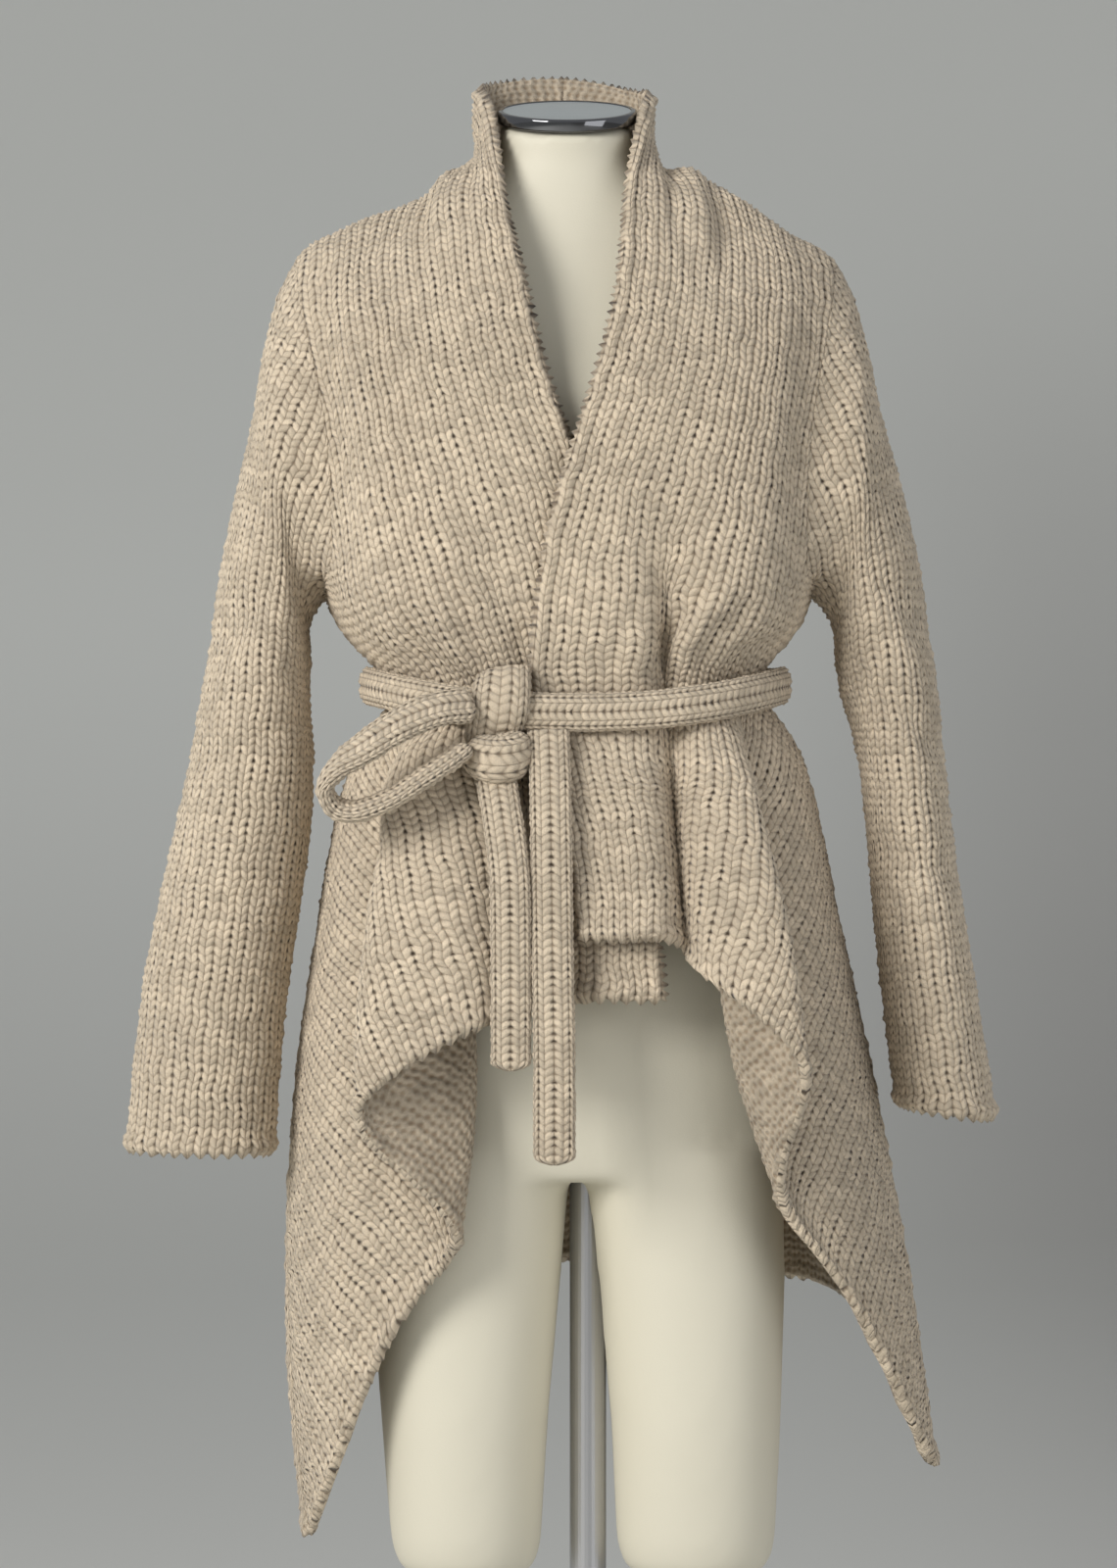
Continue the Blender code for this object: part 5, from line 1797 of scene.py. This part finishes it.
@dataclass(frozen=True)
class YarnFinish:
    """Slubby oatmeal wool, seen on its knit or purl side, with painted shade in the hollows of its stitches
    and a purl side dimmed as painted shade.
    """

    name: str = "oatmeal wool"
    # The yarn's own colour, the painted shade of its hollows, and the dimming of the purl side, which is
    # painted shade.
    light: tuple = (0.73, 0.61, 0.455, 1.0)
    shade: tuple = (0.29, 0.21, 0.135, 1.0)
    purl_shade: float = 0.76
    roughness: float = 0.92
    sheen: float = 0.18
    sheen_roughness: float = 0.5
    specular: float = 0.25
    relief: float = 2.2 * MM

    def make(self, face: Face, group: bpy.types.NodeTree) -> bpy.types.Material:
        """Makes the material.

        Args:
            face: The side of the knitting.
            group: The stitches' shader group.

        Returns:
            The material.
        """
        material, sketch, shader = new_material(f"{self.name} {face.name.lower()}")
        stitch = sketch.add("ShaderNodeUVMap", uv_map="stitch")
        yarn = sketch.add("ShaderNodeGroup", node_tree=group)
        sketch.tree.links.new(stitch.outputs[0], yarn.inputs["Stitch"])
        # The purl side gets a dimmed light colour: painted shade.
        dim = self.purl_shade if face is Face.PURL else 1.0
        yarn.inputs["Light"].default_value = tuple(value * dim for value in self.light[:3]) + (1.0,)
        yarn.inputs["Shade"].default_value = self.shade
        yarn.inputs["Purl"].default_value = float(face.value)
        bump = sketch.add("ShaderNodeBump", {"Height": yarn.outputs["Height"], "Distance": self.relief,
                                             "Strength": 1.0})
        sketch.tree.links.new(yarn.outputs["Color"], shader.inputs["Base Color"])
        sketch.tree.links.new(bump.outputs[0], shader.inputs["Normal"])
        shader.inputs["Roughness"].default_value = self.roughness
        shader.inputs["Sheen Weight"].default_value = self.sheen
        shader.inputs["Sheen Roughness"].default_value = self.sheen_roughness
        shader.inputs["Specular IOR Level"].default_value = self.specular
        return material


@dataclass(frozen=True)
class ShellFinish:
    """Smooth cream cover of the dress form."""

    name: str = "cream cover"
    colour: tuple = (0.70, 0.66, 0.535, 1.0)
    dim: float = 0.93
    roughness: float = 0.62
    relief: float = 0.15 * MM

    def make(self) -> bpy.types.Material:
        """Makes the material.

        Returns:
            The material.
        """
        material, sketch, shader = new_material(self.name)
        where = sketch.add("ShaderNodeTexCoord").outputs["Object"]
        cloud = sketch.noise(where, 7.0, 3.0)
        grain = sketch.noise(where, 900.0, 2.0)
        dull = tuple(value * self.dim for value in self.colour[:3]) + (1.0,)
        colour = sketch.mix(cloud, self.colour, dull)
        bump = sketch.add("ShaderNodeBump", {"Height": grain, "Distance": self.relief, "Strength": 0.6})
        sketch.tree.links.new(colour, shader.inputs["Base Color"])
        sketch.tree.links.new(bump.outputs[0], shader.inputs["Normal"])
        shader.inputs["Roughness"].default_value = self.roughness
        return material


@dataclass(frozen=True)
class MetalFinish:
    """A metal with fine marks of its polish along one axis."""

    name: str
    colour: tuple
    roughness: float
    grain: tuple = (4.0, 4.0, 500.0)
    smoothest: float = 0.7
    dullest: float = 1.4

    def make(self) -> bpy.types.Material:
        """Makes the material.

        Returns:
            The material.
        """
        material, sketch, shader = new_material(self.name)
        where = sketch.add("ShaderNodeTexCoord").outputs["Object"]
        turned = sketch.add("ShaderNodeMapping", {"Vector": where, "Scale": self.grain}).outputs[0]
        marks = sketch.noise(turned, 3.0, 4.0)
        gloss = sketch.add("ShaderNodeMapRange", {"Value": marks, "To Min": self.roughness * self.smoothest,
                                                  "To Max": self.roughness * self.dullest})
        sketch.tree.links.new(gloss.outputs[0], shader.inputs["Roughness"])
        shader.inputs["Base Color"].default_value = self.colour
        shader.inputs["Metallic"].default_value = 1.0
        return material


@dataclass
class Garment:
    """The knitted body, collar and sleeves, panel by panel."""

    flats: dict = field(default_factory=dict)

    def build(self, materials: tuple) -> None:
        """Makes every panel.

        Args:
            materials: The finishes of the knit and the purl side.
        """
        cage = Cage()
        fronts = (FrontPlan("left", LEFT_FRONT, LEFT_SKIRT_MIDDLE, LEFT_HEM),
                  FrontPlan("right", RIGHT_FRONT, RIGHT_SKIRT_MIDDLE, RIGHT_HEM))
        back = BackPlan(fronts)
        sleeves = (SleevePlan("left", LEFT_SLEEVE), SleevePlan("right", RIGHT_SLEEVE))
        for plan in fronts + (back,) + sleeves:
            plan.add_to(cage)
        for front in fronts:
            self.flats[front.panel] = front.flat()
        self.flats[back.panel] = back.flat(cage)
        for sleeve in sleeves:
            self.flats[sleeve.panel] = sleeve.flat(cage)
        stitch = (WALE, COURSE)
        stitches = [[self.flats[quad.panel][key] / stitch for key in quad.keys] for quad in cage.quads]
        body = SmoothBody(cage, stitches)
        for name in dict.fromkeys(quad.panel for quad in cage.quads):
            obj = KnitPanel(name).build(cage, body, materials)
            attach(obj, "root")
            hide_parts(name)


@dataclass
class DressForm:
    """The limbless form that the cardigan hangs on: cover, neck cap, pole and base."""

    tilt: float = math.radians(18)
    weld: float = 0.01 * MM
    voxel: float = 5.0 * MM
    smooth_share: float = 0.5
    smooth_rounds: int = 24
    cap_radius: float = 50 * MM
    cap_thick: float = 9 * MM
    cap_sides: int = 96
    cap_bevel: float = 1.6 * MM
    band_width: float = 2.2 * MM
    disc_gap: float = 0.4 * MM
    disc_depth: float = 0.8 * MM
    sharp_angle: float = math.radians(40)

    def build(self, cover: bpy.types.Material, chrome: bpy.types.Material, steel: bpy.types.Material,
              disc: bpy.types.Material) -> None:
        """Makes the cover and the cap and dresses the stand.

        Args:
            cover: The shell's finish.
            chrome: The neck band's finish.
            steel: The stand's finish.
            disc: The finish of the disc on the neck.
        """
        torso = self.cover()
        torso.data.materials.append(cover)
        self.register(torso, "form_torso", "form_shell")
        cap = self.cap(chrome, disc)
        self.register(cap, "form_neck_cap", "bright_metal")
        for name in ("form_pole", "form_base"):
            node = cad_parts[name]
            for place in node.material_slots:
                place.material = steel
        LOG.info("form: %d faces on its cover", len(torso.data.polygons))

    @staticmethod
    def register(obj: bpy.types.Object, node: str, slot: str) -> None:
        """Hangs a piece under the root and hides the solid that it stands for."""
        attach(obj, "root")
        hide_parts(node)

    def cover(self) -> bpy.types.Object:
        """Smooths a copy of the form's solid.

        Returns:
            The cover.
        """
        mesh = bmesh.new()
        mesh.from_mesh(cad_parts["form_torso"].data)
        bmesh.ops.remove_doubles(mesh, verts=mesh.verts, dist=self.weld)
        obj = mesh_object(mesh, "form_torso_cover")
        obj.matrix_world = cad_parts["form_torso"].matrix_world
        remesh = obj.modifiers.new("Remesh", "REMESH")
        remesh.mode = "VOXEL"
        remesh.voxel_size = self.voxel
        smoothing = obj.modifiers.new("Smooth", "SMOOTH")
        smoothing.factor = self.smooth_share
        smoothing.iterations = self.smooth_rounds
        finished = SmoothBody.evaluated(obj)
        finished.transform(obj.matrix_world)
        obj.modifiers.clear()
        obj.matrix_world = Matrix.Identity(4)
        obj.data = finished
        finished.materials.clear()
        finished.shade_smooth()
        return obj

    def cap(self, chrome: bpy.types.Material, disc: bpy.types.Material) -> bpy.types.Object:
        """Makes the neck cap: a bevelled chrome band with a grey disc let into it.

        Args:
            chrome: The band's finish.
            disc: The disc's finish.

        Returns:
            The cap.
        """
        mesh = bmesh.new()
        bmesh.ops.create_cone(mesh, cap_ends=True, segments=self.cap_sides, radius1=self.cap_radius,
                              radius2=self.cap_radius, depth=self.cap_thick)
        rims = [edge for edge in mesh.edges if abs(edge.verts[0].co.z - edge.verts[1].co.z) < 1e-6]
        bmesh.ops.bevel(mesh, geom=rims, offset=self.cap_bevel, offset_type="OFFSET", segments=3, profile=0.5,
                        affect="EDGES", material=-1)
        top = max(mesh.faces, key=lambda face: face.calc_center_median().z)
        bmesh.ops.inset_individual(mesh, faces=[top], thickness=self.band_width, depth=0.0)
        bmesh.ops.inset_individual(mesh, faces=[top], thickness=self.disc_gap, depth=-self.disc_depth)
        top.material_index = 1
        for face in mesh.faces:
            face.smooth = face is not top
        low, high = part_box("form_neck_cap")
        middle = (Vector(low) + Vector(high)) / 2
        bmesh.ops.transform(mesh, verts=mesh.verts, matrix=Matrix.Translation(middle) @
                            Matrix.Rotation(self.tilt, 4, "X"))
        obj = mesh_object(mesh, "form_neck_cap_band", (chrome, disc))
        obj.data.set_sharp_from_angle(angle=self.sharp_angle)
        return obj


# Where the lights point, the paper's own colour and the colour of its painted shade.
LOOK_AT = (0, 0, 1.1)
PAPER_LIGHT = (0.86, 0.865, 0.82, 1.0)
PAPER_SHADE = (0.44, 0.43, 0.41, 1.0)


@dataclass
class Studio:
    """Pale floor and backdrop, soft light from the left and a camera at the photograph's angle."""

    camera_x: float = -0.007
    camera_height: float = 1.03
    distance: float = 2.8
    frame_height: float = 1.12
    wall_y: float = 8.5
    wall_height: float = 6.0
    half_width: float = 12.0
    bend: float = 2.5
    sheet_rows: int = 34
    world_colour: tuple = (0.90, 0.92, 0.95, 1.0)
    world_strength: float = 0.42

    def build(self) -> None:
        """Makes the camera, the lights, the world and the backdrop."""
        scene = bpy.context.scene
        scene.view_settings.view_transform = "Standard"
        lens = bpy.data.cameras.new("camera")
        lens.sensor_fit = "VERTICAL"
        lens.sensor_height = 36.0
        lens.lens = lens.sensor_height * self.distance / self.frame_height
        camera = bpy.data.objects.new("camera", lens)
        camera.location = (self.camera_x, -self.distance, self.camera_height)
        camera.rotation_euler = (math.radians(90), 0, 0)
        scene.collection.objects.link(camera)
        scene.camera = camera
        self.light("key light", (-2.3, -2.5, 2.3), 1.5, 105.0, (1.0, 0.985, 0.96))
        self.light("fill light", (2.6, -2.4, 1.2), 2.2, 27.0, (0.97, 0.98, 1.0))
        world = bpy.data.worlds.new("studio")
        world.use_nodes = True
        sky = world.node_tree.nodes["Background"]
        sky.inputs[0].default_value = self.world_colour
        sky.inputs[1].default_value = self.world_strength
        scene.world = world
        self.backdrop()

    @staticmethod
    def light(name: str, place: tuple, size: float, power: float, colour: tuple) -> None:
        """Adds a square soft light that points at the garment.

        Args:
            name: The light's name.
            place: Where it is.
            size: Its side.
            power: Its power in watts.
            colour: Its colour.
        """
        data = bpy.data.lights.new(name, "AREA")
        data.size = size
        data.energy = power
        data.color = colour
        obj = bpy.data.objects.new(name, data)
        obj.location = place
        obj.rotation_euler = (Vector(LOOK_AT) - Vector(place)).to_track_quat("-Z", "Y").to_euler()
        bpy.context.scene.collection.objects.link(obj)

    def backdrop(self) -> None:
        """Makes the floor and a wall in one sheet, rounded where they meet."""
        bend = self.bend
        mesh = bmesh.new()
        bmesh.ops.create_grid(mesh, x_segments=1, y_segments=self.sheet_rows, size=0.5)
        floor = self.wall_y - bend + self.half_width
        arc = bend * math.pi / 2
        total = floor + arc + self.wall_height
        for vertex in mesh.verts:
            run = (vertex.co.y + 0.5) * total
            x = vertex.co.x * 2 * self.half_width
            if run < floor:
                vertex.co = (x, run - self.half_width, 0)
            elif run < floor + arc:
                angle = (run - floor) / bend
                vertex.co = (x, self.wall_y - bend + bend * math.sin(angle), bend * (1 - math.cos(angle)))
            else:
                vertex.co = (x, self.wall_y, bend + run - floor - arc)
        for face in mesh.faces:
            face.smooth = True
        mesh_object(mesh, "backdrop", (self.paper(),))

    @staticmethod
    def paper() -> bpy.types.Material:
        """Makes the pale paper, with painted shade that darkens it softly to the right and towards the floor.

        Returns:
            The material.
        """
        material, sketch, shader = new_material("pale paper")
        where = sketch.add("ShaderNodeTexCoord").outputs["Object"]
        parts = sketch.add("ShaderNodeSeparateXYZ", {0: where})
        # Painted shadow of the form on the lower right of the paper, and painted shade towards the floor.
        right = sketch.smooth(parts.outputs[0], 0.1, 1.6)
        high = sketch.smooth(parts.outputs[2], 1.2, 3.0)
        floor_shade = sketch.math("SUBTRACT", 1.0, sketch.smooth(parts.outputs[2], 0.0, 1.6))
        below = sketch.math("SUBTRACT", 0.55, sketch.math("MULTIPLY", high, 0.55))
        corner = sketch.math("MULTIPLY", right, below)
        painted_shade = sketch.math("MULTIPLY_ADD", floor_shade, 0.35, corner)
        colour = sketch.mix(painted_shade, PAPER_LIGHT, PAPER_SHADE)
        sketch.tree.links.new(colour, shader.inputs["Base Color"])
        shader.inputs["Roughness"].default_value = 0.9
        return material


def main() -> None:
    """Builds the scene in order: studio, form, garment, belt."""
    logging.basicConfig(level=logging.INFO, format="%(name)s %(message)s")
    Studio().build()
    yarn = YarnFinish()
    group = knit_group()
    materials = (yarn.make(Face.KNIT, group), yarn.make(Face.PURL, group))
    # The chrome's colour is dark: a painted reflection of a dark room; the lamps still give it real
    # highlights.
    chrome = MetalFinish("bright metal", (0.17, 0.172, 0.18, 1.0), 0.07).make()
    steel = MetalFinish("satin steel", (0.50, 0.50, 0.51, 1.0), 0.36).make()
    disc = MetalFinish("grey disc", (0.62, 0.66, 0.66, 1.0), 0.5).make()
    DressForm().build(ShellFinish().make(), chrome, steel, disc)
    Garment().build(materials)
    Belt().build(materials[0])


if __name__ == "__main__":
    main()
